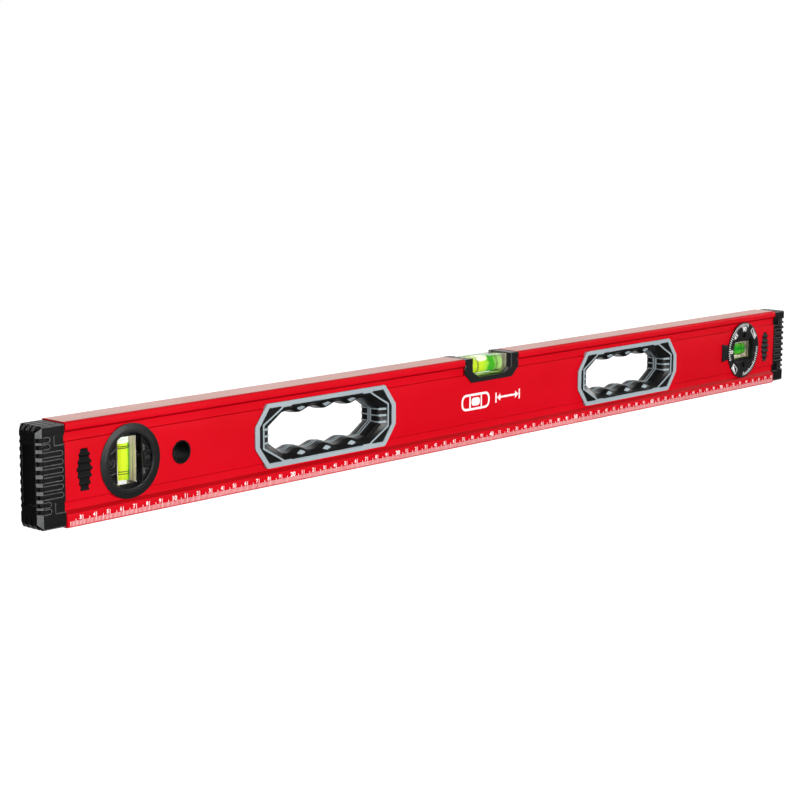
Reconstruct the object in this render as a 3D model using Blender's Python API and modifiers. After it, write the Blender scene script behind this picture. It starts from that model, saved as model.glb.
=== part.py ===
"""Box-section spirit level, 800 mm long, as separate pieces that come apart on a bench.

Row frame: X runs along the level, -Y is the printed front face and +Z is up. The origin is under the
middle of the level, on its lower measuring face. Sizes below are in millimetres.

Each face of the level has its own working frame, which a front and a rear half share:
x to the right as that face is looked at, z up, and h outwards from the middle plane of the level.
"""

import math

import bmesh
import bpy
from mathutils import Matrix

MM = 0.001

# Driving dimensions
LENGTH = 800.0
HEIGHT = 62.0
FACE = 11.0  # half the thickness: the outer faces of the two flanges
WEB = 10.0  # height of the wide middle panel above the middle plane
BAND = 9.0  # height of the two recessed bands above and below it
CAP_SHOWS = 18.8  # length of an end cap that stands out of the profile
GAP = 0.25  # room left between neighbouring pieces
HALF_GAP = GAP / 2
THROUGH = 14.0  # a cutter's height above the middle plane, clear of every face
SLIT = 0.1  # room between a vial's liquid and its bore
ROUND_STEPS = 32
SMALL_STEPS = 16  # round pieces under 20 mm across
TINY_STEPS = 10  # screw shanks

# Cross-section of the profile, from the lower edge up: height above the middle plane, then z
SECTION_OUTSIDE = [
    (FACE - 0.5, 0.0),
    (FACE, 0.5),
    (FACE, 7.8),
    (BAND, 10.3),
    (BAND, 15.0),
    (WEB, 15.6),
    (WEB, 50.2),
    (BAND, 50.8),
    (BAND, 55.8),
    (FACE, 57.3),
    (FACE, 61.0),
    (FACE - 1.0, HEIGHT),
]
SECTION_INSIDE = [
    (FACE - 2.0, 2.5),
    (FACE - 2.0, 7.2),
    (BAND - 1.8, 9.6),
    (BAND - 1.8, 15.8),
    (WEB - 1.8, 16.4),
    (WEB - 1.8, 49.4),
    (BAND - 1.8, 50.0),
    (BAND - 1.8, 56.5),
    (FACE - 2.0, 58.0),
    (FACE - 2.0, HEIGHT - 2.5),
]

# End caps and the keys that lock them
PROFILE_END = LENGTH / 2 - CAP_SHOWS
CAP_INSET = 0.8  # the cap stands this far inside the profile's outer faces
CAP_CHAMFER = 2.8
CAP_PANEL_DEPTH = 1.2
CAP_PANEL_Z = (14.0, 50.0)
CAP_POCKET_X = (11.0, 18.0)  # from the cap's outer end
CAP_POCKETS_Z = ((10.0, 16.0), (50.0, 56.0))
CAP_POCKET_DEPTH = 1.0
TONGUE_INNER_END = 357.0
TONGUE_HALF_WIDE = BAND - 1.8 - GAP
TONGUE_Z = (5.0, 57.0)
KEY_X = 367.5
KEY_Z = 32.5
KEY_HALF_HIGH = 12.5
KEY_HALF_WIDE = 5.1
KEY_END_HALF_WIDE = 2.6
KEY_TOP = WEB - 0.6

# Hand grips
GRIP_X = 167.5
GRIP_Z = 32.5
GRIP_OUTER = (66.0, 20.9, 10.5, 13.9)  # half length, half height, corner cut along and up
GRIP_TRIM_INNER = (61.7, 17.5, 9.6, 11.6)
GRIP_WALL_HOLE = (63.5, 18.6, 10.0, 12.6)
GRIP_PLATE_TOP = FACE - 0.3
GRIP_BUMP_PITCH = 23.5
GRIP_BUMP_SPAN = 41.0  # the finger bumps fade out this far from the middle
GRIP_EDGE_STEPS = 22
# Hand opening at each height: h, half length, half height, corner cuts, height of the finger bumps
GRIP_OPENING = [
    (THROUGH, 57.9, 16.6, 15.9, 9.0, 0.0),
    (GRIP_PLATE_TOP - 0.2, 57.9, 16.6, 15.9, 9.0, 0.0),
    (8.7, 50.9, 13.4, 11.8, 7.2, 1.2),
    (-1.0, 50.6, 12.2, 11.6, 7.8, 1.35),
]

# Plumb vial unit
PLUMB_X = -333.3
PLUMB_Z = 32.7
PLUMB_RIM_R = 22.65
PLUMB_TUBE_R = 20.2
PLUMB_MOUTH_R = 16.5
PLUMB_PAD_EDGE = 9.2
PLUMB_PAD = (WEB - 2.2, WEB - 0.2)
PLUMB_CRADLE = 14.45
CRADLE_TOP = 7.0
PLUMB_SCREW_X = 14.0
PLUMB_BLOCK = (7.2, 7.0, 14.2)  # half sizes along X, Y and Z

# Rotary vial unit
DIAL_X = 333.0
DIAL_Z = 33.0
DIAL_RIM_R = 23.4
DIAL_HUB_R = 19.1
SEAT_BORE_R = 19.4
SEAT_R = 21.8
SEAT_BOTTOM = 4.5
POINTER_OUTER = -32.0
POINTER_INNER = -23.8
POINTER_ROOT = -20.5
POINTER_HALF_WIDE = 7.4
POINTER_NECK_HALF_WIDE = 5.7
DIAL_SCREW_Z = 12.8
DIAL_WINDOW = (15.2, 9.6)  # radius of the dish in the dial, and half the height it is cut to
DIAL_WINDOW_FLOOR = 8.0
DIAL_SIGHT = (13.3, 6.9)
DIAL_BLOCK = (13.9, 7.0, 7.4)

# Main vial in the top face
NOTCH_HALF = 30.0
NOTCH_FLANGE = [(29.75, 61.9), (29.75, 51.0), (22.5, 44.5)]
NOTCH_WALL = [(NOTCH_HALF, 66.0), (NOTCH_HALF, 55.9), (27.8, 55.9), (27.8, 51.5), (21.3, 46.3)]
NOTCH_CORE = [(29.6, 61.8), (29.6, 56.15), (27.55, 56.15), (27.55, 51.6), (21.2, 46.55)]
NOTCH_WINDOW = [(20.4, 66.0), (20.4, 52.0), (13.8, 48.4)]
NOTCH_FACE = WEB + 0.8
MAIN_BLOCK = (21.2, 7.2, 6.55)
MAIN_BLOCK_Z = 54.75

# Vial bores: radius, and the thickness of the closed end and of the plug in the open end
PLUMB_BORE = 4.8
DIAL_BORE = 4.6
MAIN_BORE = 5.0
BLIND_END = 2.0
PLUG = 4.0

# Screws
SHANK_R = 1.1
SHANK_TIP = -7.5
HEAD_R = 2.1
HEAD_TOP = WEB - 0.5
HEAD_THICK = 1.3
COLUMN_R = 2.7
CROSS_SLOT = (1.4, 0.25, 0.6)

# Hang hole
HANG_X = -293.6
HANG_Z = 32.5
HANG_WALL_R = 6.8
HANG_TUBE_R = 6.55
HANG_BORE_R = 5.6
HANG_RIM_R = 7.3

COLOURS = {
    "red_coat": ((0.72, 0.005, 0.02), 0.35, 0.2),
    "cap_black": ((0.02, 0.02, 0.02), 0.55, 0.0),
    "grip_black": ((0.02, 0.02, 0.02), 0.5, 0.0),
    "grip_grey": ((0.42, 0.53, 0.57), 0.6, 0.0),
    "housing_black": ((0.025, 0.026, 0.028), 0.45, 0.0),
    "clear_acrylic": ((0.93, 0.97, 0.93), 0.05, 0.0),
    "vial_liquid": ((0.62, 0.85, 0.03), 0.05, 0.0),
    "screw_steel": ((0.06, 0.06, 0.065), 0.35, 0.9),
}


# Scene helpers


def clear_scene():
    for item in list(bpy.data.objects):
        bpy.data.objects.remove(item, do_unlink=True)


def new_collection(name):
    group = bpy.data.collections.new(name)
    bpy.context.scene.collection.children.link(group)
    return group


def make_materials():
    made = {}
    for name, (colour, roughness, metallic) in COLOURS.items():
        surface = bpy.data.materials.new(name)
        surface.use_nodes = True
        shader = surface.node_tree.nodes["Principled BSDF"]
        shader.inputs["Base Color"].default_value = (*colour, 1.0)
        shader.inputs["Roughness"].default_value = roughness
        shader.inputs["Metallic"].default_value = metallic
        made[name] = surface
    return made


clear_scene()
PARTS = new_collection("spirit_level")
CUTTERS = new_collection("cutters")
MATERIALS = make_materials()


def face_frame(face, x, z):
    """Where a piece of one face goes: the front is seen along +Y, the rear is the front turned round."""
    if face == "front":
        turn = Matrix(((1, 0, 0), (0, 0, -1), (0, 1, 0)))
    else:
        turn = Matrix(((-1, 0, 0), (0, 0, 1), (0, 1, 0)))
    return Matrix.Translation((x * MM, 0.0, z * MM)) @ turn.to_4x4()


def section_frame():
    """A cross-section drawn in Y and Z, drawn out along X."""
    return Matrix(((0, 0, 1), (1, 0, 0), (0, 1, 0))).to_4x4()


def plan_frame():
    """An outline drawn in X and Y, drawn out along Z."""
    return Matrix.Identity(4)


def add_object(name, mesh, place, guide=False):
    item = bpy.data.objects.new(name, mesh)
    item.matrix_world = place
    if guide:
        CUTTERS.objects.link(item)
        item.hide_render = True
        item.display_type = "WIRE"
    else:
        PARTS.objects.link(item)
    return item


def finish_part(item, colour, parent=None):
    """Give a part its material and smooth round faces, and hang it on its joint's empty."""
    item.data.materials.clear()
    item.data.materials.append(MATERIALS[colour])
    item.data.shade_smooth()
    item.data.set_sharp_from_angle(angle=math.radians(35))
    if parent is not None:
        place = item.matrix_world.copy()
        item.parent = parent
        item.matrix_parent_inverse = parent.matrix_world.inverted()
        item.matrix_world = place
    return item


# Shape helpers


def slab(name, outlines, low, high, place, guide=False):
    """A flat piece: closed outlines, the first outside and the rest holes, from height low to high."""
    curve = bpy.data.curves.new(name, "CURVE")
    curve.dimensions = "2D"
    curve.fill_mode = "BOTH"
    curve.extrude = (high - low) / 2 * MM
    for outline in outlines:
        spline = curve.splines.new("POLY")
        spline.points.add(len(outline) - 1)
        for point, (x, y) in zip(spline.points, outline):
            point.co = (x * MM, y * MM, 0.0, 1.0)
        spline.use_cyclic_u = True
    drawn = bpy.data.objects.new(name + "_outline", curve)
    drawn.matrix_world = place @ Matrix.Translation((0.0, 0.0, (low + high) / 2 * MM))
    bpy.context.scene.collection.objects.link(drawn)
    graph = bpy.context.evaluated_depsgraph_get()
    mesh = bpy.data.meshes.new_from_object(drawn.evaluated_get(graph))
    where = drawn.matrix_world.copy()
    bpy.data.objects.remove(drawn, do_unlink=True)
    bpy.data.curves.remove(curve)
    shape = bmesh.new()
    shape.from_mesh(mesh)
    bmesh.ops.remove_doubles(shape, verts=shape.verts, dist=1e-6)
    shape.to_mesh(mesh)
    shape.free()
    mesh.name = name
    return add_object(name, mesh, where, guide)


def box(name, half_sizes, centre, place, guide=False):
    """A block given by its half sizes and centre in the frame it is placed in."""
    shape = bmesh.new()
    bmesh.ops.create_cube(shape, size=2.0 * MM)
    bmesh.ops.scale(shape, vec=half_sizes, verts=shape.verts)
    mesh = bpy.data.meshes.new(name)
    shape.to_mesh(mesh)
    shape.free()
    offset = Matrix.Translation([value * MM for value in centre])
    return add_object(name, mesh, place @ offset, guide)


def rod(name, radius, low, high, place, guide=False, steps=ROUND_STEPS):
    """A round bar along the height of the frame it is placed in."""
    shape = bmesh.new()
    bmesh.ops.create_cone(
        shape,
        cap_ends=True,
        segments=steps,
        radius1=radius * MM,
        radius2=radius * MM,
        depth=(high - low) * MM,
    )
    mesh = bpy.data.meshes.new(name)
    shape.to_mesh(mesh)
    shape.free()
    offset = Matrix.Translation((0.0, 0.0, (low + high) / 2 * MM))
    return add_object(name, mesh, place @ offset, guide)


def turned(name, profile, place, steps=ROUND_STEPS):
    """A turned piece: a closed profile of radius and height, run round the frame's height axis."""
    shape = bmesh.new()
    corners = [shape.verts.new((r * MM, 0.0, h * MM)) for r, h in profile]
    for index, corner in enumerate(corners):
        shape.edges.new((corner, corners[(index + 1) % len(corners)]))
    mesh = bpy.data.meshes.new(name)
    shape.to_mesh(mesh)
    shape.free()
    item = add_object(name, mesh, place)
    screw = item.modifiers.new("turn", "SCREW")
    screw.axis = "Z"
    screw.steps = steps
    screw.render_steps = steps
    screw.use_merge_vertices = True
    screw.merge_threshold = 1e-6
    return item


def loft(name, sections, place, guide=False):
    """A solid through closed sections of equal point count, given as (height, points), top first."""
    shape = bmesh.new()
    rings = []
    for height, points in sections:
        rings.append([shape.verts.new((x * MM, y * MM, height * MM)) for x, y in points])
    for upper, lower in zip(rings, rings[1:]):
        for index in range(len(upper)):
            after = (index + 1) % len(upper)
            shape.faces.new((upper[index], lower[index], lower[after], upper[after]))
    shape.faces.new(rings[0])
    shape.faces.new(list(reversed(rings[-1])))
    bmesh.ops.recalc_face_normals(shape, faces=shape.faces)
    mesh = bpy.data.meshes.new(name)
    shape.to_mesh(mesh)
    shape.free()
    return add_object(name, mesh, place, guide)


def combine(item, tool, operation):
    step = item.modifiers.new(tool.name, "BOOLEAN")
    step.operation = operation
    step.solver = "EXACT"
    step.object = tool
    return item


def cut(item, *tools):
    for tool in tools:
        combine(item, tool, "DIFFERENCE")
    return item


def add(item, *tools):
    for tool in tools:
        combine(item, tool, "UNION")
    return item


# Outlines


def mirrored(half):
    """A symmetric outline from its right half, given from the top down."""
    return half + [(-x, y) for x, y in reversed(half)]


def circle(radius, steps=ROUND_STEPS):
    turn = 2 * math.pi / steps
    return [(radius * math.cos(turn * i), radius * math.sin(turn * i)) for i in range(steps)]


def octagon(half_long, half_high, cut_long, cut_high):
    right = [
        (half_long - cut_long, half_high),
        (half_long, half_high - cut_high),
        (half_long, cut_high - half_high),
        (half_long - cut_long, -half_high),
    ]
    return mirrored(right)


def shrunk(sizes, by):
    """An octagon's four sizes, with every side moved in by one amount."""
    half_long, half_high, cut_long, cut_high = sizes
    diagonal = math.hypot(cut_long, cut_high)
    slope_shift = by * (diagonal - cut_high - cut_long)
    return (
        half_long - by,
        half_high - by,
        cut_long + slope_shift / cut_high,
        cut_high + slope_shift / cut_long,
    )


def segment(radius, edge):
    """The part of a disc to the right of the upright line x = edge."""
    sweep = math.acos(edge / radius)
    steps = 12
    angles = [-sweep + 2 * sweep * i / steps for i in range(steps + 1)]
    return [(radius * math.cos(a), radius * math.sin(a)) for a in angles]


def turned_outline(outline, angle):
    c, s = math.cos(angle), math.sin(angle)
    return [(c * x - s * y, s * x + c * y) for x, y in outline]


def hand_opening(half_long, half_high, cut_long, cut_high, bump):
    """An octagon whose long sides swell inwards into three finger bumps."""
    reach = half_long - cut_long
    points = []
    for side in (1, -1):
        for step in range(GRIP_EDGE_STEPS + 1):
            x = side * reach * (2 * step / GRIP_EDGE_STEPS - 1)
            fade = max(0.0, 1.0 - (x / GRIP_BUMP_SPAN) ** 6)
            wave = bump * fade * math.cos(2 * math.pi * x / GRIP_BUMP_PITCH)
            points.append((x, side * (half_high - wave)))
        points.append((side * half_long, side * (half_high - cut_high)))
        points.append((side * half_long, -side * (half_high - cut_high)))
    return points


def flattened_circle(radius, half_high):
    """A circle cut off flat above and below."""
    sweep = math.asin(half_high / radius)
    turns = [sweep * (1 - 2 * step / SMALL_STEPS) for step in range(SMALL_STEPS + 1)]
    return mirrored([(radius * math.cos(turn), radius * math.sin(turn)) for turn in turns])


def key_outline(inset):
    half = [
        (KEY_END_HALF_WIDE - inset, KEY_HALF_HIGH - inset),
        (KEY_HALF_WIDE - inset, 0.0),
        (KEY_END_HALF_WIDE - inset, inset - KEY_HALF_HIGH),
    ]
    return mirrored(half)


def pointer_outline(face, outer, inner, extra):
    """The fan-shaped pointer tab, its wide end outwards, on the side of the dial away from the cap."""
    outline = [
        (outer - extra, -POINTER_HALF_WIDE - extra),
        (inner, -POINTER_NECK_HALF_WIDE - extra),
        (inner, POINTER_NECK_HALF_WIDE + extra),
        (outer - extra, POINTER_HALF_WIDE + extra),
    ]
    return outline if face == "front" else turned_outline(outline, math.pi)


# Aluminium profile


def make_profile():
    frames = section_frame()
    outside = SECTION_OUTSIDE + [(-y, z) for y, z in reversed(SECTION_OUTSIDE)]
    inside = SECTION_INSIDE + [(-y, z) for y, z in reversed(SECTION_INSIDE)]
    profile = slab("beam_profile", [outside, inside], -PROFILE_END, PROFILE_END, frames)
    middle = face_frame("front", 0.0, 0.0)
    holes = [slab("notch_cut", [mirrored(NOTCH_WALL)], -THROUGH, THROUGH, middle, guide=True)]
    for side, name in ((-1, "left"), (1, "right")):
        at_grip = face_frame("front", side * GRIP_X, GRIP_Z)
        at_key = face_frame("front", side * KEY_X, KEY_Z)
        grip = octagon(*GRIP_WALL_HOLE)
        holes.append(slab(name + "_grip_cut", [grip], -THROUGH, THROUGH, at_grip, guide=True))
        key = key_outline(0.0)
        holes.append(slab(name + "_key_cut", [key], -THROUGH, THROUGH, at_key, guide=True))
    rounds = (
        ("plumb_cut", PLUMB_X, PLUMB_Z, PLUMB_TUBE_R + GAP),
        ("hang_cut", HANG_X, HANG_Z, HANG_WALL_R),
        ("dial_cut", DIAL_X, DIAL_Z, SEAT_R + GAP),
    )
    for name, x, z, radius in rounds:
        holes.append(rod(name, radius, -THROUGH, THROUGH, face_frame("front", x, z), guide=True))
    for face in ("front", "rear"):
        tab = pointer_outline(face, POINTER_OUTER, POINTER_ROOT, GAP)
        at_dial = face_frame(face, DIAL_X, DIAL_Z)
        holes.append(slab(face + "_tab_cut", [tab], SEAT_BOTTOM, THROUGH, at_dial, guide=True))
    cut(profile, *holes)
    finish_part(profile, "red_coat")


# End caps


def make_cap(side, name):
    """The cap that shows past the profile, with a tongue that slides inside it."""
    start = side * (PROFILE_END + GAP)
    end = side * LENGTH / 2
    wide = FACE - CAP_INSET
    outline = [
        (start, -wide),
        (end - side * CAP_CHAMFER, -wide),
        (end, CAP_CHAMFER - wide),
        (end, wide - CAP_CHAMFER),
        (end - side * CAP_CHAMFER, wide),
        (start, wide),
    ]
    cap = slab(name + "_end_cap", [outline], CAP_INSET, HEIGHT - CAP_INSET, plan_frame())

    tongue_half = (PROFILE_END + 1.0 - TONGUE_INNER_END) / 2
    tongue_middle = side * (TONGUE_INNER_END + tongue_half)
    tongue_half_high = (TONGUE_Z[1] - TONGUE_Z[0]) / 2
    tongue = box(
        name + "_tongue",
        (tongue_half, TONGUE_HALF_WIDE, tongue_half_high),
        (tongue_middle, 0.0, (TONGUE_Z[0] + TONGUE_Z[1]) / 2),
        plan_frame(),
        guide=True,
    )
    add(cap, tongue)

    cuts = []
    for z in (CAP_INSET, HEIGHT - CAP_INSET):
        edge = Matrix.Translation((end * MM, 0.0, z * MM)) @ Matrix.Rotation(math.pi / 4, 4, "Y")
        reach = CAP_CHAMFER / math.sqrt(2)
        bevel = (reach, THROUGH, reach)
        cuts.append(box(f"{name}_edge_{z:.0f}", bevel, (0.0, 0.0, 0.0), edge, guide=True))
    panel_half_high = (CAP_PANEL_Z[1] - CAP_PANEL_Z[0]) / 2
    panel_size = (CAP_PANEL_DEPTH, wide - CAP_CHAMFER - 1.0, panel_half_high)
    panel_at = (end, 0.0, (CAP_PANEL_Z[0] + CAP_PANEL_Z[1]) / 2)
    cuts.append(box(name + "_panel_cut", panel_size, panel_at, plan_frame(), guide=True))
    pocket_half = (CAP_POCKET_X[1] - CAP_POCKET_X[0]) / 2
    pocket_x = end - side * (CAP_POCKET_X[0] + pocket_half)
    for low, high in CAP_POCKETS_Z:
        for y in (-wide, wide):
            size = (pocket_half, CAP_POCKET_DEPTH, (high - low) / 2)
            label = f"{name}_pocket_{low:.0f}_{y:.0f}"
            cuts.append(box(label, size, (pocket_x, y, (low + high) / 2), plan_frame(), guide=True))
    at_key = face_frame("front", side * KEY_X, KEY_Z)
    keyway = key_outline(0.0)
    cuts.append(slab(name + "_keyway", [keyway], -THROUGH, THROUGH, at_key, guide=True))
    cut(cap, *cuts)
    finish_part(cap, "cap_black")

    key = slab(name + "_cap_key", [key_outline(GAP)], -KEY_TOP, KEY_TOP, at_key)
    finish_part(key, "cap_black")


# Hand grips


def make_grip_half(side, name, face):
    """One moulded shell of a hand opening, from the middle plane out, and its grey rubber trim."""
    place = face_frame(face, side * GRIP_X, GRIP_Z)
    label = f"{name}_grip_{face}"
    tunnel = octagon(*shrunk(GRIP_WALL_HOLE, GAP))
    shell = slab(label + "_shell", [tunnel], HALF_GAP, WEB, place)
    plate = octagon(*shrunk(GRIP_TRIM_INNER, GAP))
    add(shell, slab(label + "_plate", [plate], WEB - 1.0, GRIP_PLATE_TOP, place, guide=True))
    sections = [(h, hand_opening(*sizes)) for h, *sizes in GRIP_OPENING]
    cut(shell, loft(label + "_opening", sections, place, guide=True))
    finish_part(shell, "grip_black")

    rings = [octagon(*GRIP_OUTER), octagon(*GRIP_TRIM_INNER)]
    trim = slab(label + "_trim", rings, WEB + GAP, FACE, place)
    finish_part(trim, "grip_grey")


# Vials


def vial_frame(x, z, upright):
    """A vial's own frame: its height axis runs along the bore, towards the plugged end."""
    centre = Matrix.Translation((x * MM, 0.0, z * MM))
    if upright:
        return centre
    return centre @ Matrix.Rotation(math.pi / 2, 4, "Y")


def make_vial(name, half_sizes, x, z, bore, upright, bubble_at, bubble_size, parent=None):
    """A clear block with a blind bore, the liquid with room for its bubble, and the plug."""
    half_long = half_sizes[2] if upright else half_sizes[0]
    place = vial_frame(x, z, upright)
    block = box(name + "_vial_block", half_sizes, (x, 0.0, z), plan_frame())
    bottom = BLIND_END - half_long
    cut(block, rod(name + "_bore", bore, bottom, half_long + 1.0, place, guide=True, steps=SMALL_STEPS))
    finish_part(block, "clear_acrylic", parent)

    plug_low = half_long - PLUG
    plug = rod(name + "_vial_plug", bore - GAP, plug_low, half_long, place, steps=SMALL_STEPS)
    finish_part(plug, "housing_black", parent)

    top = plug_low - SLIT
    liquid = rod(name + "_vial_liquid", bore - SLIT, bottom + SLIT, top, place, steps=SMALL_STEPS)
    shape = bmesh.new()
    bmesh.ops.create_uvsphere(shape, u_segments=12, v_segments=8, radius=MM)
    bmesh.ops.scale(shape, vec=bubble_size, verts=shape.verts)
    mesh = bpy.data.meshes.new(name + "_bubble_room")
    shape.to_mesh(mesh)
    shape.free()
    at_bubble = Matrix.Translation([value * MM for value in bubble_at])
    cut(liquid, add_object(name + "_bubble_room", mesh, at_bubble, guide=True))
    finish_part(liquid, "vial_liquid", parent)


def make_screw(name, place, parent=None):
    """A screw from the front, its head sunk in the front half and its shank in the rear one."""
    screw = rod(name, HEAD_R, HEAD_TOP - HEAD_THICK, HEAD_TOP, place, steps=SMALL_STEPS)
    shank_top = HEAD_TOP - HEAD_THICK / 2
    add(screw, rod(name + "_shank", SHANK_R, SHANK_TIP, shank_top, place, guide=True, steps=TINY_STEPS))
    for angle in (0.0, math.pi / 2):
        turn = Matrix.Rotation(angle, 4, "Z")
        slot = box(f"{name}_slot_{angle:.0f}", CROSS_SLOT, (0, 0, HEAD_TOP), place @ turn, guide=True)
        cut(screw, slot)
    finish_part(screw, "screw_steel", parent)


def screw_holes(label, face, place):
    """Room for a screw's shank, and for its head in the front half."""
    holes = [rod(label + "_shank_room", SHANK_R + GAP, -1.0, THROUGH, place, guide=True, steps=TINY_STEPS)]
    if face == "front":
        floor = HEAD_TOP - HEAD_THICK - GAP
        head_room = rod(label + "_head_room", HEAD_R + GAP, floor, THROUGH, place, True, SMALL_STEPS)
        holes.append(head_room)
    else:
        holes[0].name = label + "_pilot"
    return holes


# Plumb vial unit


def make_plumb_half(face):
    """A ring that seats on the panel, with a tube inwards, two screw pads and the vial's cradle."""
    place = face_frame(face, PLUMB_X, PLUMB_Z)
    label = "plumb_" + face
    rim_low = WEB + GAP
    profile = [
        (PLUMB_MOUTH_R, FACE - 0.3),
        (PLUMB_MOUTH_R + 0.9, FACE),
        (PLUMB_RIM_R - 0.3, WEB + 0.65),
        (PLUMB_RIM_R, WEB + 0.5),
        (PLUMB_RIM_R, rim_low),
        (PLUMB_TUBE_R, rim_low),
        (PLUMB_TUBE_R, HALF_GAP),
        (PLUMB_MOUTH_R, HALF_GAP),
    ]
    housing = turned("plumb_housing_" + face, profile, place)
    between = (PLUMB_MOUTH_R + PLUMB_TUBE_R) / 2
    for turn, side in ((0.0, "right"), (math.pi, "left")):
        pad = turned_outline(segment(between, PLUMB_PAD_EDGE), turn)
        add(housing, slab(f"{label}_pad_{side}", [pad], *PLUMB_PAD, place, guide=True))
    for turn, side in ((math.pi / 2, "upper"), (-math.pi / 2, "lower")):
        flat = turned_outline(segment(between, PLUMB_CRADLE), turn)
        add(housing, slab(f"{label}_cradle_{side}", [flat], GAP, CRADLE_TOP, place, guide=True))
    for x, side in ((PLUMB_SCREW_X, "right"), (-PLUMB_SCREW_X, "left")):
        at_screw = place @ Matrix.Translation((x * MM, 0.0, 0.0))
        column_top = PLUMB_PAD[0] + 0.5
        column = rod(f"{label}_column_{side}", COLUMN_R, GAP, column_top, at_screw, True, SMALL_STEPS)
        add(housing, column)
        cut(housing, *screw_holes(f"{label}_{side}", face, at_screw))
    finish_part(housing, "housing_black")


def make_plumb_unit():
    for face in ("front", "rear"):
        make_plumb_half(face)
    bubble_at = (PLUMB_X, 0.0, PLUMB_Z + PLUMB_BLOCK[2] - PLUG)
    make_vial("plumb", PLUMB_BLOCK, PLUMB_X, PLUMB_Z, PLUMB_BORE, True, bubble_at, (3.6, 3.6, 3.6))
    for x, side in ((PLUMB_SCREW_X, "right"), (-PLUMB_SCREW_X, "left")):
        make_screw("plumb_screw_" + side, face_frame("front", PLUMB_X + x, PLUMB_Z))


# Rotary vial unit


def make_seat(face):
    """The fixed ring in the profile's wall that the dial turns in, with its pointer tab."""
    place = face_frame(face, DIAL_X, DIAL_Z)
    label = "rotary_seat_" + face
    top = WEB - HALF_GAP
    seat = slab(label, [circle(SEAT_R), circle(SEAT_BORE_R)], SEAT_BOTTOM, top, place)
    root = pointer_outline(face, POINTER_OUTER, POINTER_ROOT, 0.0)
    add(seat, slab(label + "_root", [root], WEB - 1.8, top - 0.05, place, guide=True))
    tab = pointer_outline(face, POINTER_OUTER, POINTER_INNER, 0.0)
    add(seat, slab(label + "_tab", [tab], WEB - 0.8, FACE - 0.2, place, guide=True))
    finish_part(seat, "housing_black")


def make_dial_half(face, pivot):
    """The dial that carries the scale, with half of the hub that clamps the vial."""
    place = face_frame(face, DIAL_X, DIAL_Z)
    label = "rotary_dial_" + face
    profile = [
        (0.0, FACE),
        (DIAL_RIM_R - 0.3, FACE),
        (DIAL_RIM_R, FACE - 0.3),
        (DIAL_RIM_R, WEB + HALF_GAP),
        (DIAL_HUB_R, WEB + HALF_GAP),
        (DIAL_HUB_R, HALF_GAP),
        (0.0, HALF_GAP),
    ]
    dial = turned(label, profile, place)
    long, deep, high = DIAL_BLOCK
    pocket_top = deep + GAP
    pocket = (long + GAP, high + GAP, pocket_top)
    window_low = DIAL_WINDOW_FLOOR
    dish = flattened_circle(*DIAL_WINDOW)
    sight = (*DIAL_SIGHT, THROUGH)
    cut(dial, box(label + "_pocket", pocket, (0.0, 0.0, 0.0), place, guide=True))
    cut(dial, slab(label + "_window", [dish], window_low, THROUGH, place, guide=True))
    cut(dial, box(label + "_sight", sight, (0.0, 0.0, 0.0), place, guide=True))
    for z, side in ((DIAL_SCREW_Z, "upper"), (-DIAL_SCREW_Z, "lower")):
        at_screw = place @ Matrix.Translation((0.0, z * MM, 0.0))
        cut(dial, *screw_holes(f"{label}_{side}", face, at_screw))
    finish_part(dial, "housing_black", pivot)


def make_rotary_unit():
    pivot = bpy.data.objects.new("dial_pivot", None)
    pivot.matrix_world = Matrix.Translation((DIAL_X * MM, 0.0, DIAL_Z * MM))
    PARTS.objects.link(pivot)
    for face in ("front", "rear"):
        make_seat(face)
        make_dial_half(face, pivot)
    bubble_at = (DIAL_X, 0.0, DIAL_Z + DIAL_BORE)
    make_vial("rotary", DIAL_BLOCK, DIAL_X, DIAL_Z, DIAL_BORE, False, bubble_at, (4.2, 2.8, 2.4), pivot)
    for z, side in ((DIAL_SCREW_Z, "upper"), (-DIAL_SCREW_Z, "lower")):
        make_screw("rotary_screw_" + side, face_frame("front", DIAL_X, DIAL_Z + z), pivot)


# Main vial


def make_main_unit():
    """The trough that drops into the notch in the top face, holding the main vial."""
    place = face_frame("front", 0.0, 0.0)
    housing = slab("main_vial_housing", [mirrored(NOTCH_CORE)], 0.3 - NOTCH_FACE, NOTCH_FACE - 0.3, place)
    for face in ("front", "rear"):
        flange = mirrored(NOTCH_FLANGE)
        label = f"main_{face}_flange"
        at_face = face_frame(face, 0.0, 0.0)
        add(housing, slab(label, [flange], WEB + GAP, NOTCH_FACE, at_face, guide=True))
    long, deep, high = MAIN_BLOCK
    floor = MAIN_BLOCK_Z - high - GAP
    trough_half = (HEIGHT + 4.0 - floor) / 2
    trough = (long + GAP, deep + GAP, trough_half)
    cut(housing, box("main_trough", trough, (0, 0, floor + trough_half), plan_frame(), guide=True))
    window = mirrored(NOTCH_WINDOW)
    cut(housing, slab("main_window", [window], -THROUGH, THROUGH, place, guide=True))
    finish_part(housing, "housing_black")
    bubble_at = (0.0, 0.0, MAIN_BLOCK_Z + MAIN_BORE)
    make_vial("main", MAIN_BLOCK, 0.0, MAIN_BLOCK_Z, MAIN_BORE, False, bubble_at, (6.5, 3.2, 2.8))


# Hang hole


def make_bush(face):
    """Half of the lining of the hang hole, pressed in from one face."""
    profile = [
        (HANG_BORE_R + 0.5, WEB + 0.8),
        (HANG_RIM_R - 0.2, WEB + 0.8),
        (HANG_RIM_R, WEB + 0.6),
        (HANG_RIM_R, WEB + GAP),
        (HANG_TUBE_R, WEB + GAP),
        (HANG_TUBE_R, HALF_GAP),
        (HANG_BORE_R, HALF_GAP),
        (HANG_BORE_R, WEB + 0.3),
    ]
    bush = turned("hang_bush_" + face, profile, face_frame(face, HANG_X, HANG_Z), SMALL_STEPS)
    finish_part(bush, "housing_black")


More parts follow.
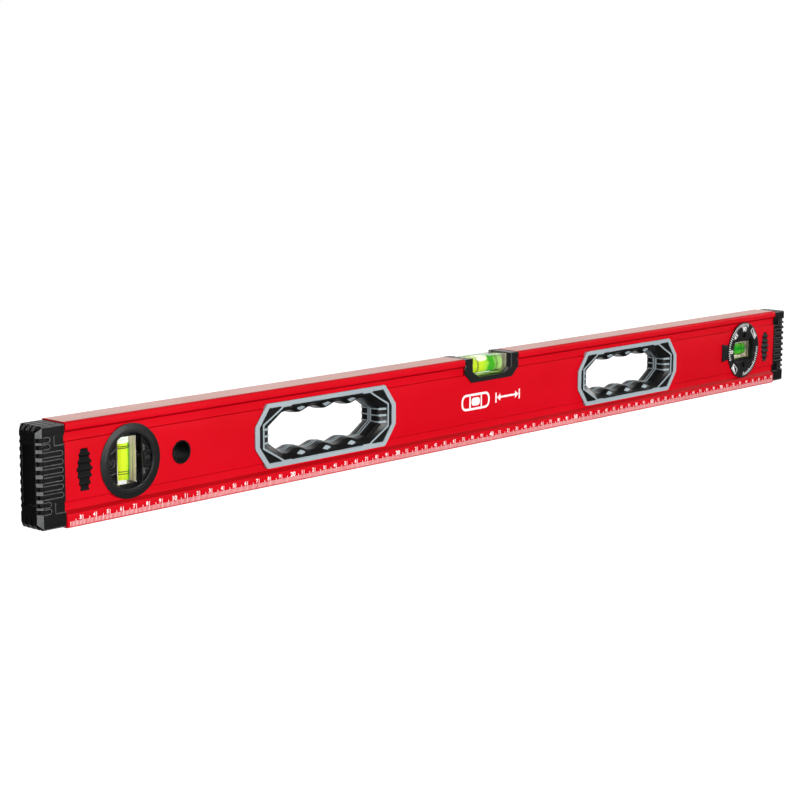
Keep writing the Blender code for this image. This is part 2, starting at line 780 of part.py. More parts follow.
make_profile()
for side_sign, side_name in ((-1, "left"), (1, "right")):
    make_cap(side_sign, side_name)
    for grip_face in ("front", "rear"):
        make_grip_half(side_sign, side_name, grip_face)
make_plumb_unit()
make_main_unit()
make_rotary_unit()
for bush_face in ("front", "rear"):
    make_bush(bush_face)
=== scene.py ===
import math

import bmesh
import bpy
from mathutils import Matrix, Vector


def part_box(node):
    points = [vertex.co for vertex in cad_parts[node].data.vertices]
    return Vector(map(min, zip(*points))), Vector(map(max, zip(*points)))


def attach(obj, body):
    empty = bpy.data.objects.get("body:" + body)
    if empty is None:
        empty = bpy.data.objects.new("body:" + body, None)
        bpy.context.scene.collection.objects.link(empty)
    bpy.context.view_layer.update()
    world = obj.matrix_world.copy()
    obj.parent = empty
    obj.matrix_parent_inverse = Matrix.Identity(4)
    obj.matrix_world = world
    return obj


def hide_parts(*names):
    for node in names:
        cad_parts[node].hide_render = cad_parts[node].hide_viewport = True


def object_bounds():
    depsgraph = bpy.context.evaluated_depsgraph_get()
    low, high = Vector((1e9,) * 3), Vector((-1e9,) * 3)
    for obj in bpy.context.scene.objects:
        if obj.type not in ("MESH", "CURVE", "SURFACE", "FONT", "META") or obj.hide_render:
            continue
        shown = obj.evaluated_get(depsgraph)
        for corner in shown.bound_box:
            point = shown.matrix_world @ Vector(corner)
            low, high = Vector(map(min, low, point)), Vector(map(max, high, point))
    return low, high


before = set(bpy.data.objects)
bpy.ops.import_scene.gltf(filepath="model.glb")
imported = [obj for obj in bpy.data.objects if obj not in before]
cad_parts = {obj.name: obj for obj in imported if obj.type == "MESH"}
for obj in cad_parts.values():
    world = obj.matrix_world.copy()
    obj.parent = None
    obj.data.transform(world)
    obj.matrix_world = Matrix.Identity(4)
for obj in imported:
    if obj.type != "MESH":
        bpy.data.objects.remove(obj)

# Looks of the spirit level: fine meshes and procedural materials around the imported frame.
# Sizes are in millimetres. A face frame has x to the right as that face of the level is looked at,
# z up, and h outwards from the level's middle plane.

CAD_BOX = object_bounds()
MM = 0.001
GAP = 0.25
LEVEL = "level"
DIAL = "angle_dial"


def middle(node):
    low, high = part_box(node)
    return (low + high) / 2 / MM


def half_size(node):
    low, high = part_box(node)
    return (high - low) / 2 / MM


# Places and sizes read from the frame
HALF_LENGTH = half_size("beam_profile").x
LENGTH = (CAD_BOX[1].x - CAD_BOX[0].x) / MM
FACE = half_size("beam_profile").y
HEIGHT = 2 * half_size("beam_profile").z
WEB = FACE - 1.0
BAND = FACE - 2.0
KEY_HALF = half_size("left_cap_key")
KEY_AT = {side: middle(f"{side}_cap_key") for side in ("left", "right")}
GRIP_AT = {side: middle(f"{side}_grip_front_trim") for side in ("left", "right")}
PLUMB_AT = middle("plumb_housing_front")
PLUMB_BLOCK = half_size("plumb_vial_block")
DIAL_AT = middle("rotary_dial_front")
DIAL_R = half_size("rotary_dial_front").x
DIAL_BLOCK = half_size("rotary_vial_block")
MAIN_AT = middle("main_vial_block")
MAIN_BLOCK = half_size("main_vial_block")
HANG_AT = middle("hang_bush_front")
HANG_R = half_size("hang_bush_front").x


# Camera and studio

CAMERA_AT = (-1043.9, -871.5, 252.5)
CAMERA_HEADING = 42.297  # degrees from +X towards +Y
CAMERA_DOWN = 9.378  # degrees below the horizon
CAMERA_ROLL = 0.312  # degrees
CAMERA_LENS = 85.87
CAMERA_SENSOR = 36.0
FLOOR_REACH = 30.0  # metres
FLOOR_DROP = 0.0002  # metres under the level, so that the two faces don't coincide
BACKDROP_WAY = (0.74, 0.67, 0.05)  # from the camera's side of the level to the far side
AIM = (0.0, 0.0, 0.03)
SOFT_BOXES = [  # name, place and size in metres, watts
    ("key", (-1.35, -1.2, 0.3), (0.55, 0.55), 14.0),
    ("front_fill", (0.1, -2.2, 0.35), (1.8, 0.6), 48.0),
    ("rear_fill", (-0.1, 2.2, 0.6), (1.8, 0.6), 44.0),
    ("right_fill", (2.2, -0.3, 0.4), (0.6, 0.6), 10.0),
    ("top", (0.3, -0.25, 2.0), (2.2, 1.0), 8.0),
]


def make_camera():
    heading = math.radians(CAMERA_HEADING)
    down = math.radians(CAMERA_DOWN)
    roll = math.radians(CAMERA_ROLL)
    flat_way = Vector((math.cos(heading), math.sin(heading), 0.0))
    ahead = flat_way * math.cos(down) - Vector((0.0, 0.0, math.sin(down)))
    level_right = Vector((math.sin(heading), -math.cos(heading), 0.0))
    level_up = level_right.cross(ahead)
    right = level_right * math.cos(roll) + level_up * math.sin(roll)
    up = level_up * math.cos(roll) - level_right * math.sin(roll)
    data = bpy.data.cameras.new("camera")
    data.lens = CAMERA_LENS
    data.sensor_width = CAMERA_SENSOR
    camera = bpy.data.objects.new("camera", data)
    turn = Matrix((right, up, -ahead)).transposed().to_4x4()
    camera.matrix_world = Matrix.Translation(Vector(CAMERA_AT) * MM) @ turn
    data.clip_start = 0.05
    data.clip_end = 50.0
    bpy.context.scene.collection.objects.link(camera)
    bpy.context.scene.camera = camera


def make_floor():
    mesh = bpy.data.meshes.new("floor")
    far = FLOOR_REACH
    mesh.from_pydata([(-far, -far, 0), (far, -far, 0), (far, far, 0), (-far, far, 0)], [], [(0, 1, 2, 3)])
    floor = bpy.data.objects.new("floor", mesh)
    floor.location.z = -FLOOR_DROP
    bpy.context.scene.collection.objects.link(floor)
    white, shader, tree = new_material("floor_white")
    looks = {
        "Base Color": (0.3, 0.3, 0.3, 1.0),
        "Emission Color": (1.0, 1.0, 1.0, 1.0),
        "Emission Strength": 1.0,
        "Roughness": 0.9,
        "Specular IOR Level": 0.0,
    }
    feed(tree, shader, looks)
    mesh.materials.append(white)
    floor.visible_glossy = False
    floor.visible_diffuse = False


def area_light(name, at, size, watts):
    """A soft box aimed at the middle of the level."""
    data = bpy.data.lights.new(name, "AREA")
    data.shape = "RECTANGLE"
    data.size, data.size_y = size
    data.energy = watts
    lamp = bpy.data.objects.new(name, data)
    lamp.location = at
    lamp.rotation_euler = (Vector(AIM) - Vector(at)).to_track_quat("-Z", "Y").to_euler()
    bpy.context.scene.collection.objects.link(lamp)


def make_studio():
    """White for the camera and on the far side of the level, dim elsewhere, with soft boxes all round."""
    world = bpy.data.worlds.new("studio")
    world.use_nodes = True
    tree = world.node_tree
    way = add_node(tree, "TexCoord").outputs["Generated"]
    far_side = add_node(tree, "VectorMath", {0: way, 1: BACKDROP_WAY}, "DOT_PRODUCT").outputs["Value"]
    backdrop = map_range(tree, far_side, (0.5, 0.85), (0.06, 1.0))
    seen = add_node(tree, "LightPath").outputs["Is Camera Ray"]
    brighter = add_node(tree, "Math", {0: backdrop, 1: seen}, "MAXIMUM").outputs["Value"]
    feed(tree, tree.nodes["Background"], {"Color": (1.0, 1.0, 1.0, 1.0), "Strength": brighter})
    bpy.context.scene.world = world
    for soft_box in SOFT_BOXES:
        area_light(*soft_box)
    settings = bpy.context.scene.view_settings
    settings.view_transform = "Standard"
    settings.look = "None"


# Materials

ALIKE = (1.0, 1.0, 1.0)
BUMP_DEPTH = 0.0001  # metres
DRIFT_STOPS = (0.3, 0.7)
SURFACES = {
    # key: name, dark tone, light tone, roughness, grain per metre and its strength,
    # then, where they differ from the rest, the drift of the tone per metre and the grain's stretch
    "red": ("red_powder_coat", (0.56, 0.0004, 0.007), (0.62, 0.0012, 0.010), (0.36, 0.48), 1400.0, 0.12),
    # painted shade: the red made darker, for the profile's sloped folds
    "fold": ("red_coat_in_folds", (0.36, 0.0002, 0.003), (0.42, 0.0006, 0.005), (0.40, 0.5), 1400.0, 0.12),
    "milled": (
        "milled_aluminium", (0.66, 0.50, 0.46), (0.76, 0.60, 0.56), (0.28, 0.46),
        900.0, 0.15, 12.0, (0.04, 1.0, 1.0),
    ),
    "rubber": ("cap_rubber", (0.002, 0.002, 0.002), (0.0045, 0.0045, 0.0045), (0.30, 0.42), 2200.0, 0.22),
    "plastic": ("moulded_black", (0.004, 0.004, 0.0045), (0.008, 0.008, 0.0085), (0.26, 0.38), 2600.0, 0.15),
    "matte": ("matte_rubber", (0.002, 0.002, 0.002), (0.006, 0.006, 0.006), (0.5, 0.65), 1600.0, 0.3),
    "grip": ("grip_black", (0.003, 0.003, 0.003), (0.006, 0.006, 0.006), (0.26, 0.38), 2000.0, 0.15),
    # painted highlight: a lighter grey for the caps' end chamfers, where they catch the light
    "worn": (
        "worn_rubber", (0.10, 0.105, 0.105), (0.18, 0.185, 0.185), (0.35, 0.5),
        1500.0, 0.2, 300.0,
    ),
    # painted highlight: a grey for thin rims and small facets, where edges catch the light
    "rubbed": (
        "rubbed_edge", (0.05, 0.051, 0.051), (0.12, 0.123, 0.123), (0.3, 0.45),
        1500.0, 0.2, 300.0,
    ),
    "grey": ("soft_grey", (0.29, 0.345, 0.375), (0.35, 0.41, 0.44), (0.5, 0.68), 2400.0, 0.14),
    "print": ("white_print", (0.82, 0.80, 0.80), (0.97, 0.96, 0.96), (0.45, 0.6), 3000.0, 0.05),
    "screw": ("blackened_steel", (0.03, 0.03, 0.032), (0.07, 0.07, 0.075), (0.25, 0.42), 1800.0, 0.12),
    "ink": ("green_black_ink", (0.006, 0.03, 0.004), (0.012, 0.05, 0.008), (0.4, 0.5), 3000.0, 0.03),
    "lime_panel": (
        "lime_panel", (0.28, 0.52, 0.04), (0.46, 0.66, 0.08), (0.4, 0.6),
        400.0, 0.1, 120.0,
    ),
}
SHADER_VALUES = {
    "red": {"Specular IOR Level": 0.08},
    "fold": {"Specular IOR Level": 0.08},
    "milled": {"Metallic": 0.75, "Specular Tint": (0.92, 0.62, 0.58, 1.0)},
    "rubber": {"Specular IOR Level": 0.2},
    "plastic": {"Specular IOR Level": 0.45},
    "matte": {"Specular IOR Level": 0.1},
    "grip": {"Specular IOR Level": 0.3},
    "screw": {"Metallic": 0.8},
}
YELLOW_SPIRIT = [  # from the middle of the bore, seen straight on, to its edge, which is darker as painted shade
    (0.0, (0.62, 0.72, 0.03)),
    (0.48, (0.52, 0.70, 0.03)),
    (0.64, (0.12, 0.50, 0.02)),
    (1.0, (0.01, 0.26, 0.01)),
]
# the angle vial's deeper green, with the same painted shade at the bore's edge
DEEP_SPIRIT = [
    (0.0, (0.01, 0.26, 0.015)),
    (0.4, (0.02, 0.32, 0.02)),
    (0.62, (0.12, 0.46, 0.03)),
    (1.0, (0.02, 0.18, 0.01)),
]
BANDED_SPIRIT = [  # from one end of the bore to the other, with the bubble's painted shadow band
    (0.0, (0.50, 0.70, 0.04)),
    (0.36, (0.62, 0.74, 0.03)),
    (0.50, (0.36, 0.70, 0.05)),
    (0.58, (0.04, 0.38, 0.02)),
    (0.70, (0.06, 0.42, 0.02)),
    (0.78, (0.36, 0.66, 0.14)),
    (1.0, (0.50, 0.70, 0.30)),
]
FROST_STREAKS = [(0.38, (0.22, 0.13, 0.10)), (0.45, (0.74, 0.56, 0.47)), (0.7, (0.95, 0.84, 0.78))]
SPIRIT_IOR = 1.08
BUBBLE_IOR = 1.1
ACRYLIC_IOR = 1.3


def new_material(name):
    made = bpy.data.materials.new(name)
    made.use_nodes = True
    shader = made.node_tree.nodes["Principled BSDF"]
    return made, shader, made.node_tree


def feed(tree, node, inputs):
    """Give a node its inputs: one that is a socket is linked, any other is the value itself."""
    for name, value in inputs.items():
        if isinstance(value, bpy.types.NodeSocket):
            tree.links.new(value, node.inputs[name])
        else:
            node.inputs[name].default_value = value


def add_node(tree, kind, inputs=None, operation=None):
    node = tree.nodes.new("ShaderNode" + kind)
    if operation:
        node.operation = operation
    feed(tree, node, inputs or {})
    return node


def map_range(tree, value, old, new):
    inputs = {"Value": value, "From Min": old[0], "From Max": old[1], "To Min": new[0], "To Max": new[1]}
    return add_node(tree, "MapRange", inputs).outputs["Result"]


def noise(tree, scale, detail=3.0, stretch=ALIKE):
    """Noise in object space, its scale in features per metre."""
    where = add_node(tree, "TexCoord").outputs["Object"]
    mapped = add_node(tree, "Mapping", {"Vector": where, "Scale": stretch}).outputs["Vector"]
    texture = add_node(tree, "TexNoise", {"Vector": mapped, "Scale": scale, "Detail": detail})
    return texture.outputs["Fac"]


def drifting(tree, value, weight, scale, detail):
    """A value with some noise added to it."""
    inputs = {0: noise(tree, scale, detail), 1: weight, 2: value}
    return add_node(tree, "Math", inputs, "MULTIPLY_ADD").outputs["Value"]


def ramp(tree, factor, stops):
    node = add_node(tree, "ValToRGB", {"Fac": factor})
    elements = node.color_ramp.elements
    elements[0].position, elements[0].color = stops[0][0], (*stops[0][1], 1.0)
    elements[1].position, elements[1].color = stops[-1][0], (*stops[-1][1], 1.0)
    for position, colour in stops[1:-1]:
        elements.new(position).color = (*colour, 1.0)
    return node.outputs["Color"]


def two_tones(tree, factor, dark, light):
    return ramp(tree, factor, list(zip(DRIFT_STOPS, (dark, light))))


def roughen(tree, shader, grain, rough, strength):
    """Uneven roughness and a fine bump, both from the same grain."""
    bump = add_node(tree, "Bump", {"Strength": strength, "Distance": BUMP_DEPTH, "Height": grain})
    uneven = map_range(tree, grain, DRIFT_STOPS, rough)
    feed(tree, shader, {"Roughness": uneven, "Normal": bump.outputs["Normal"]})


def textured(key):
    """A surface whose colour drifts between two tones, with uneven roughness and a fine grain."""
    name, dark, light, rough, grain, strength, *rest = SURFACES[key]
    drift = rest[0] if rest else 18.0
    stretch = rest[1] if len(rest) > 1 else ALIKE
    made, shader, tree = new_material(name)
    feed(tree, shader, {"Base Color": two_tones(tree, noise(tree, drift), dark, light)})
    roughen(tree, shader, noise(tree, grain, 4.0, stretch), rough, strength)
    feed(tree, shader, SHADER_VALUES.get(key, {}))
    return made


def light_through(tree, shader, tone, glow, ior):
    """A clear colour with a little emission: a painted glow that stands for light shining through."""
    looks = {
        "Base Color": tone,
        "Emission Color": tone,
        "Emission Strength": glow,
        "Transmission Weight": 0.3,
        "Roughness": 0.1,
        "IOR": ior,
    }
    feed(tree, shader, looks)


def liquid_material(name, stops):
    """Coloured spirit: its tone drifts, and painted shade deepens it towards the edge of the bore, as
    refraction would.
    """
    made, shader, tree = new_material(name)
    facing = add_node(tree, "LayerWeight", {"Blend": 0.5}).outputs["Facing"]
    tone = ramp(tree, drifting(tree, facing, 0.25, 260.0, 2.0), stops)
    light_through(tree, shader, tone, 0.3, SPIRIT_IOR)
    return made


def banded_liquid():
    """Spirit with a painted shadow: the dark band that its bubble's far end throws along the bore."""
    made, shader, tree = new_material("vial_liquid_banded")
    where = add_node(tree, "TexCoord").outputs["Object"]
    height = add_node(tree, "SeparateXYZ", {"Vector": where}).outputs["Z"]
    along = map_range(tree, height, (-0.02, 0.02), (-0.1, 0.9))
    tone = ramp(tree, drifting(tree, along, 0.2, 220.0, 3.0), BANDED_SPIRIT)
    light_through(tree, shader, tone, 0.25, SPIRIT_IOR)
    return made


def bubble_material():
    made, shader, tree = new_material("vial_bubble")
    # near-white and glowing: the bubble is drawn as painted highlight
    tone = two_tones(tree, noise(tree, 300.0), (0.90, 0.97, 0.80), (1.0, 0.98, 0.97))
    light_through(tree, shader, tone, 0.3, BUBBLE_IOR)
    return made


def frosted_material():
    """The ground, streaky end of a clear block."""
    made, shader, tree = new_material("frosted_edge")
    streaks = noise(tree, 260.0, 2.0, (1.0, 1.0, 0.08))
    feed(tree, shader, {"Base Color": ramp(tree, streaks, FROST_STREAKS)})
    roughen(tree, shader, streaks, (0.45, 0.7), 0.2)
    return made


def acrylic_material():
    made, shader, tree = new_material("clear_acrylic")
    tone = two_tones(tree, noise(tree, 40.0), (0.96, 0.99, 0.95), (1.0, 1.0, 1.0))
    looks = {"Base Color": tone, "Transmission Weight": 1.0, "Roughness": 0.0, "IOR": ACRYLIC_IOR}
    feed(tree, shader, looks)
    return made


def make_materials():
    made = {key: textured(key) for key in SURFACES}
    made["frost"] = frosted_material()
    made["acrylic"] = acrylic_material()
    made["liquid"] = liquid_material("vial_liquid", YELLOW_SPIRIT)
    made["liquid_deep"] = liquid_material("vial_liquid_deep", DEEP_SPIRIT)
    made["liquid_banded"] = banded_liquid()
    made["bubble"] = bubble_material()
    return made


# Mesh helpers


def face_frame(face, x, z):
    """Where a piece of one face goes: the front is seen along +Y, the rear is the front turned round."""
    if face == "front":
        turn = Matrix(((1, 0, 0), (0, 0, -1), (0, 1, 0)))
    else:
        turn = Matrix(((-1, 0, 0), (0, 0, 1), (0, 1, 0)))
    return Matrix.Translation((x * MM, 0.0, z * MM)) @ turn.to_4x4()


SECTION = Matrix(((0, 0, 1), (1, 0, 0), (0, 1, 0))).to_4x4()  # outlines lie across the level
PLAN = Matrix.Identity(4)
FLAT_ANGLE = 0.01  # radians; a smaller bend is no edge


def shift(x=0.0, y=0.0, z=0.0):
    return Matrix.Translation((x * MM, y * MM, z * MM))


def link(name, mesh, place):
    item = bpy.data.objects.new(name, mesh)
    item.matrix_world = place
    bpy.context.scene.collection.objects.link(item)
    return item


def mesh_of(shape, name):
    bmesh.ops.recalc_face_normals(shape, faces=shape.faces)
    mesh = bpy.data.meshes.new(name)
    shape.to_mesh(mesh)
    shape.free()
    return mesh


def curve_mesh(curve):
    """The mesh of a curve, which is then removed."""
    drawn = bpy.data.objects.new(curve.name, curve)
    bpy.context.scene.collection.objects.link(drawn)
    graph = bpy.context.evaluated_depsgraph_get()
    mesh = bpy.data.meshes.new_from_object(drawn.evaluated_get(graph))
    bpy.data.objects.remove(drawn, do_unlink=True)
    bpy.data.curves.remove(curve)
    return mesh


def dissolve_flat(shape, use_verts):
    flat = [e for e in shape.edges if len(e.link_faces) == 2 and e.calc_face_angle() < FLAT_ANGLE]
    bmesh.ops.dissolve_edges(shape, edges=flat, use_verts=use_verts)


def prism(outlines, low, high):
    """A flat solid between two heights: the first outline is outside, the rest are holes."""
    curve = bpy.data.curves.new("outline", "CURVE")
    curve.dimensions = "2D"
    curve.fill_mode = "BOTH"
    curve.extrude = (high - low) / 2 * MM
    for outline in outlines:
        spline = curve.splines.new("POLY")
        spline.points.add(len(outline) - 1)
        for point, (x, y) in zip(spline.points, outline):
            point.co = (x * MM, y * MM, 0.0, 1.0)
        spline.use_cyclic_u = True
    mesh = curve_mesh(curve)
    shape = bmesh.new()
    shape.from_mesh(mesh)
    bpy.data.meshes.remove(mesh)
    bmesh.ops.remove_doubles(shape, verts=shape.verts, dist=1e-6)
    dissolve_flat(shape, False)
    bmesh.ops.translate(shape, vec=(0.0, 0.0, (low + high) / 2 * MM), verts=shape.verts)
    return shape


def lathe(profile, steps=96):
    """A turned ring or disc from a closed profile of radius and height."""
    shape = bmesh.new()
    rings = []
    angles = [2 * math.pi * step / steps for step in range(steps)]
    for radius, height in profile:
        if radius < 1e-6:
            rings.append([shape.verts.new((0.0, 0.0, height * MM))] * steps)
            continue
        ring = [(radius * math.cos(a) * MM, radius * math.sin(a) * MM, height * MM) for a in angles]
        rings.append([shape.verts.new(point) for point in ring])
    for one, two in zip(rings, rings[1:] + rings[:1]):
        for step in range(steps):
            after = (step + 1) % steps
            corners = []
            for corner in (one[step], one[after], two[after], two[step]):
                if corner not in corners:
                    corners.append(corner)
            if len(corners) > 2:
                shape.faces.new(corners)
    return shape


def skin(rings, closed_along=False):
    """A surface through rings of points in millimetres, each ring closed."""
    shape = bmesh.new()
    made = [[shape.verts.new(Vector(point) * MM) for point in ring] for ring in rings]
    pairs = list(zip(made, made[1:]))
    if closed_along:
        pairs.append((made[-1], made[0]))
    else:
        shape.faces.new(made[0])
        shape.faces.new(list(reversed(made[-1])))
    for one, two in pairs:
        for index in range(len(one)):
            after = (index + 1) % len(one)
            shape.faces.new((one[index], one[after], two[after], two[index]))
    return shape


def patch(surface, across, along, low, high):
    """A thin solid laid on surface(a, b, lift), from lift low to lift high."""
    rings = []
    for a in across:
        top = [surface(a, b, high) for b in along]
        under = [surface(a, b, low) for b in reversed(along)]
        rings.append(top + under)
    return skin(rings)


def block(half, centre=(0.0, 0.0, 0.0)):
    shape = bmesh.new()
    bmesh.ops.create_cube(shape, size=2.0)
    bmesh.ops.scale(shape, vec=Vector(half) * MM, verts=shape.verts)
    bmesh.ops.translate(shape, vec=Vector(centre) * MM, verts=shape.verts)
    return shape


def soften(shape, width, segments=2, angle=30.0):
    """Round every edge sharper than the angle, in degrees."""
    limit = math.radians(angle)
    sharp = [e for e in shape.edges if len(e.link_faces) == 2 and e.calc_face_angle() > limit]
    sizes = {"offset": width * MM, "segments": segments, "profile": 0.5}
    bmesh.ops.bevel(shape, geom=sharp, affect="EDGES", clamp_overlap=True, **sizes)
    return shape


def merge(shapes):
    """One shape that holds several, each of them closed."""
    whole = bmesh.new()
    for shape in shapes:
        mesh = mesh_of(shape, "part")
        whole.from_mesh(mesh)
        bpy.data.meshes.remove(mesh)
    return whole


def moved(shape, place):
    bmesh.ops.transform(shape, matrix=place, verts=shape.verts)
    return shape


def put_on_body(item, body, replaces, angle):
    """Shade an object, sharp above an angle in degrees, and put it on its body."""
    item.data.shade_smooth()
    item.data.set_sharp_from_angle(angle=math.radians(angle))
    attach(item, body)
    if replaces:
        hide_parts(*replaces)


def piece(name, shape, place, material, body, replaces=(), angle=20.0):
    """Make an object of a shape, dress it, and put it on its body."""
    item = link(name, mesh_of(shape, name), place)
    item.data.materials.append(MATERIALS[material])
    put_on_body(item, body, replaces, angle)
    return item


def carve(item, cutters, materials):
    """Cut shapes, placed in the world, out of an object, and give the result its materials."""
    group = bpy.data.collections.new("carving")
    bpy.context.scene.collection.children.link(group)
    guides = []
    for shape, place in cutters:
        guide = bpy.data.objects.new("guide", mesh_of(shape, "guide"))
        guide.matrix_world = place
        group.objects.link(guide)
        guides.append(guide)
    step = item.modifiers.new("carve", "BOOLEAN")
    step.operation = "DIFFERENCE"
    step.solver = "EXACT"
    step.operand_type = "COLLECTION"
    step.collection = group
    bpy.context.view_layer.update()
    graph = bpy.context.evaluated_depsgraph_get()
    carved = bpy.data.meshes.new_from_object(item.evaluated_get(graph))
    item.modifiers.clear()
    item.data = carved
    for guide in guides:
        bpy.data.objects.remove(guide, do_unlink=True)
    bpy.data.collections.remove(group)
    item.data.materials.clear()
    for material in materials:
        item.data.materials.append(MATERIALS[material])


# Outlines


def mirrored(half):
    """A right half, then its mirror image on the left, back to the start."""
    return half + [(-x, y) for x, y in reversed(half)]


def below(upper):
    """The mirror image, below the axis, of points above it, in the opposite order."""
    return [(x, -y) for x, y in reversed(upper)]


def flipped(outline, side):
    """An outline as it is for side 1, and mirrored to the left for side -1."""
    return [(side * x, y) for x, y in outline]


def arc(radius, start, end, steps, centre=(0.0, 0.0)):
    """Points on a circle from one angle to another, both included."""
    turns = [start + (end - start) * step / steps for step in range(steps + 1)]
    return [(centre[0] + radius * math.cos(t), centre[1] + radius * math.sin(t)) for t in turns]


def circle(radius, steps=96, centre=(0.0, 0.0)):
    turns = [2 * math.pi / steps * step for step in range(steps)]
    return [(centre[0] + radius * math.cos(t), centre[1] + radius * math.sin(t)) for t in turns]


def flattened_circle(radius, half_high, steps=20):
    """A circle cut off flat above and below."""
    sweep = math.asin(half_high / radius)
    return mirrored(arc(radius, sweep, -sweep, steps))


def disc_segment(radius, edge, steps=24):
    """The part of a disc to the right of the upright line x = edge."""
    sweep = math.acos(edge / radius)
    return arc(radius, -sweep, sweep, steps)


def rounded(corners, radius, steps=5):
    """A closed outline with its corners rounded; radius is one size, or one for each corner."""
    count = len(corners)
    sizes = radius if isinstance(radius, (list, tuple)) else [radius] * count
    outline = []
    for index, (x, y) in enumerate(corners):
        here = Vector((x, y))
        to_last = Vector(corners[index - 1]) - here
        to_next = Vector(corners[(index + 1) % count]) - here
        half_angle = to_last.angle(to_next) / 2
        if sizes[index] < 1e-6 or half_angle > math.pi / 2 - 0.01:
            outline.append((x, y))
            continue
        reach = sizes[index] / math.tan(half_angle)
        start = here + to_last.normalized() * reach
        end = here + to_next.normalized() * reach
        for step in range(steps + 1):
            t = step / steps
            point = start * (1 - t) ** 2 + here * 2 * t * (1 - t) + end * t ** 2
            outline.append((point.x, point.y))
    return outline


def rectangle(half_x, half_y, centre=(0.0, 0.0)):
    x, y = centre
    signs = ((1, 1), (-1, 1), (-1, -1), (1, -1))
    return [(x + sign_x * half_x, y + sign_y * half_y) for sign_x, sign_y in signs]


def octagon(half_long, half_high, cut_long, cut_high):
    right = [
        (half_long - cut_long, half_high),
        (half_long, half_high - cut_high),
        (half_long, cut_high - half_high),
        (half_long - cut_long, -half_high),
    ]
    return mirrored(right)


def shrunk(sizes, by):
    """An octagon's sizes with every side moved inwards by the same distance."""
    half_long, half_high, cut_long, cut_high = sizes
    diagonal = math.hypot(cut_long, cut_high)
    slope_shift = by * (diagonal - cut_high - cut_long)
    cuts = (cut_long + slope_shift / cut_high, cut_high + slope_shift / cut_long)
    return (half_long - by, half_high - by, *cuts)


# Aluminium profile

SECTION_HALF = [  # height above the middle plane, z, and the edge's radius
    (FACE - 0.4, 0.0, 0.3),
    (FACE, 0.4, 0.3),
    (FACE, 7.9, 0.8),
    (BAND, 10.2, 0.6),
    (BAND, 15.0, 0.15),
    (WEB, 15.5, 0.15),
    (WEB, 50.3, 0.15),
    (BAND, 50.8, 0.15),
    (BAND, 55.8, 0.6),
    (FACE, 57.2, 1.0),
    (FACE, HEIGHT, 2.2),
]
FOLDS = [(8.0, 10.3), (15.0, 15.5), (50.3, 50.8), (55.7, 57.1)]  # where the coat is painted darker, as painted shade
WALL = 1.8
INSIDE_HALF = [
    (FACE - 2.0, 2.5),
    (FACE - 2.0, 7.2),
    (BAND - WALL, 9.6),
    (BAND - WALL, 56.5),
    (FACE - 2.0, 58.0),
    (FACE - 2.0, HEIGHT - 2.5),
]
NOTCH_HALF = 30.0
NOTCH_WALL = [(NOTCH_HALF, 66.0), (NOTCH_HALF, 55.9), (28.8, 55.9), (28.8, 51.2), (21.9, 45.5)]
CUT_DEPTH = 14.0
GRIP_WALL_HOLE = (63.5, 18.6, 10.0, 12.6)
KEY_END = 2.6
KEY_ROUNDING = [0.8, 1.5, 0.8, 0.8, 1.5, 0.8]
ROUND_HOLES = [(PLUMB_AT, 20.45), (HANG_AT, 6.8), (DIAL_AT, 22.05)]
SEAT_BACK = 4.5
MILLED_SKIN = 0.02
POINTER_ROOT = -20.5
POINTER_OUTER = -32.0
POINTER_INNER = -23.8
POINTER_HALF_WIDE = 7.4
POINTER_NECK = 5.7


def key_outline():
    wide, high = KEY_HALF.x + GAP, KEY_HALF.z + GAP
    return mirrored([(KEY_END, high), (wide, 0.0), (KEY_END, -high)])


def pointer_outline(face, outer, inner, extra):
    outline = [
        (outer - extra, -POINTER_HALF_WIDE - extra),
        (inner, -POINTER_NECK - extra),
        (inner, POINTER_NECK + extra),
        (outer - extra, POINTER_HALF_WIDE + extra),
    ]
    return flipped(outline, 1 if face == "front" else -1)


def through_cut(outline, x, z):
    return prism([outline], -CUT_DEPTH, CUT_DEPTH), face_frame("front", x, z)


def profile_cuts():
    cuts = [through_cut(mirrored(NOTCH_WALL), 0.0, 0.0)]
    window = rounded(key_outline(), KEY_ROUNDING, 4)
    for side in ("left", "right"):
        grip, key = GRIP_AT[side], KEY_AT[side]
        cuts.append(through_cut(octagon(*GRIP_WALL_HOLE), grip.x, grip.z))
        cuts.append(through_cut(window, key.x, key.z))
    for centre, radius in ROUND_HOLES:
        cuts.append(through_cut(circle(radius), centre.x, centre.z))
    for face in ("front", "rear"):
        tab = prism([pointer_outline(face, POINTER_OUTER, POINTER_ROOT, GAP)], SEAT_BACK, CUT_DEPTH)
        cuts.append((tab, face_frame(face, DIAL_AT.x, DIAL_AT.z)))
    return cuts


def make_profile():
    """The coated extrusion: red, with painted shade on its folds, and bare milled faces above and below."""
    corners = [(h, z) for h, z, _ in SECTION_HALF]
    radii = [r for _, _, r in SECTION_HALF]
    outside = rounded(mirrored(corners), radii + radii[::-1], 5)
    shape = prism([outside, mirrored(INSIDE_HALF)], -HALF_LENGTH, HALF_LENGTH)
    item = link("profile_coated", mesh_of(shape, "profile_coated"), SECTION)
    carve(item, profile_cuts(), ("red", "milled", "fold"))
    item.data.transform(item.matrix_world)
    item.matrix_world = PLAN
    for polygon in item.data.polygons:
        z, up = polygon.center.z / MM, polygon.normal.z
        top = z > HEIGHT - MILLED_SKIN and up > 0.99
        bottom = z < MILLED_SKIN and up < -0.99
        # sloped faces in the folds take the darker red of painted shade
        in_painted_shade = 0.3 < abs(up) < 0.995 and any(low < z < high for low, high in FOLDS)
        polygon.material_index = 1 if top or bottom else 2 if in_painted_shade else 0
    put_on_body(item, LEVEL, ["beam_profile"], 14.0)


# Printed rule and emblem

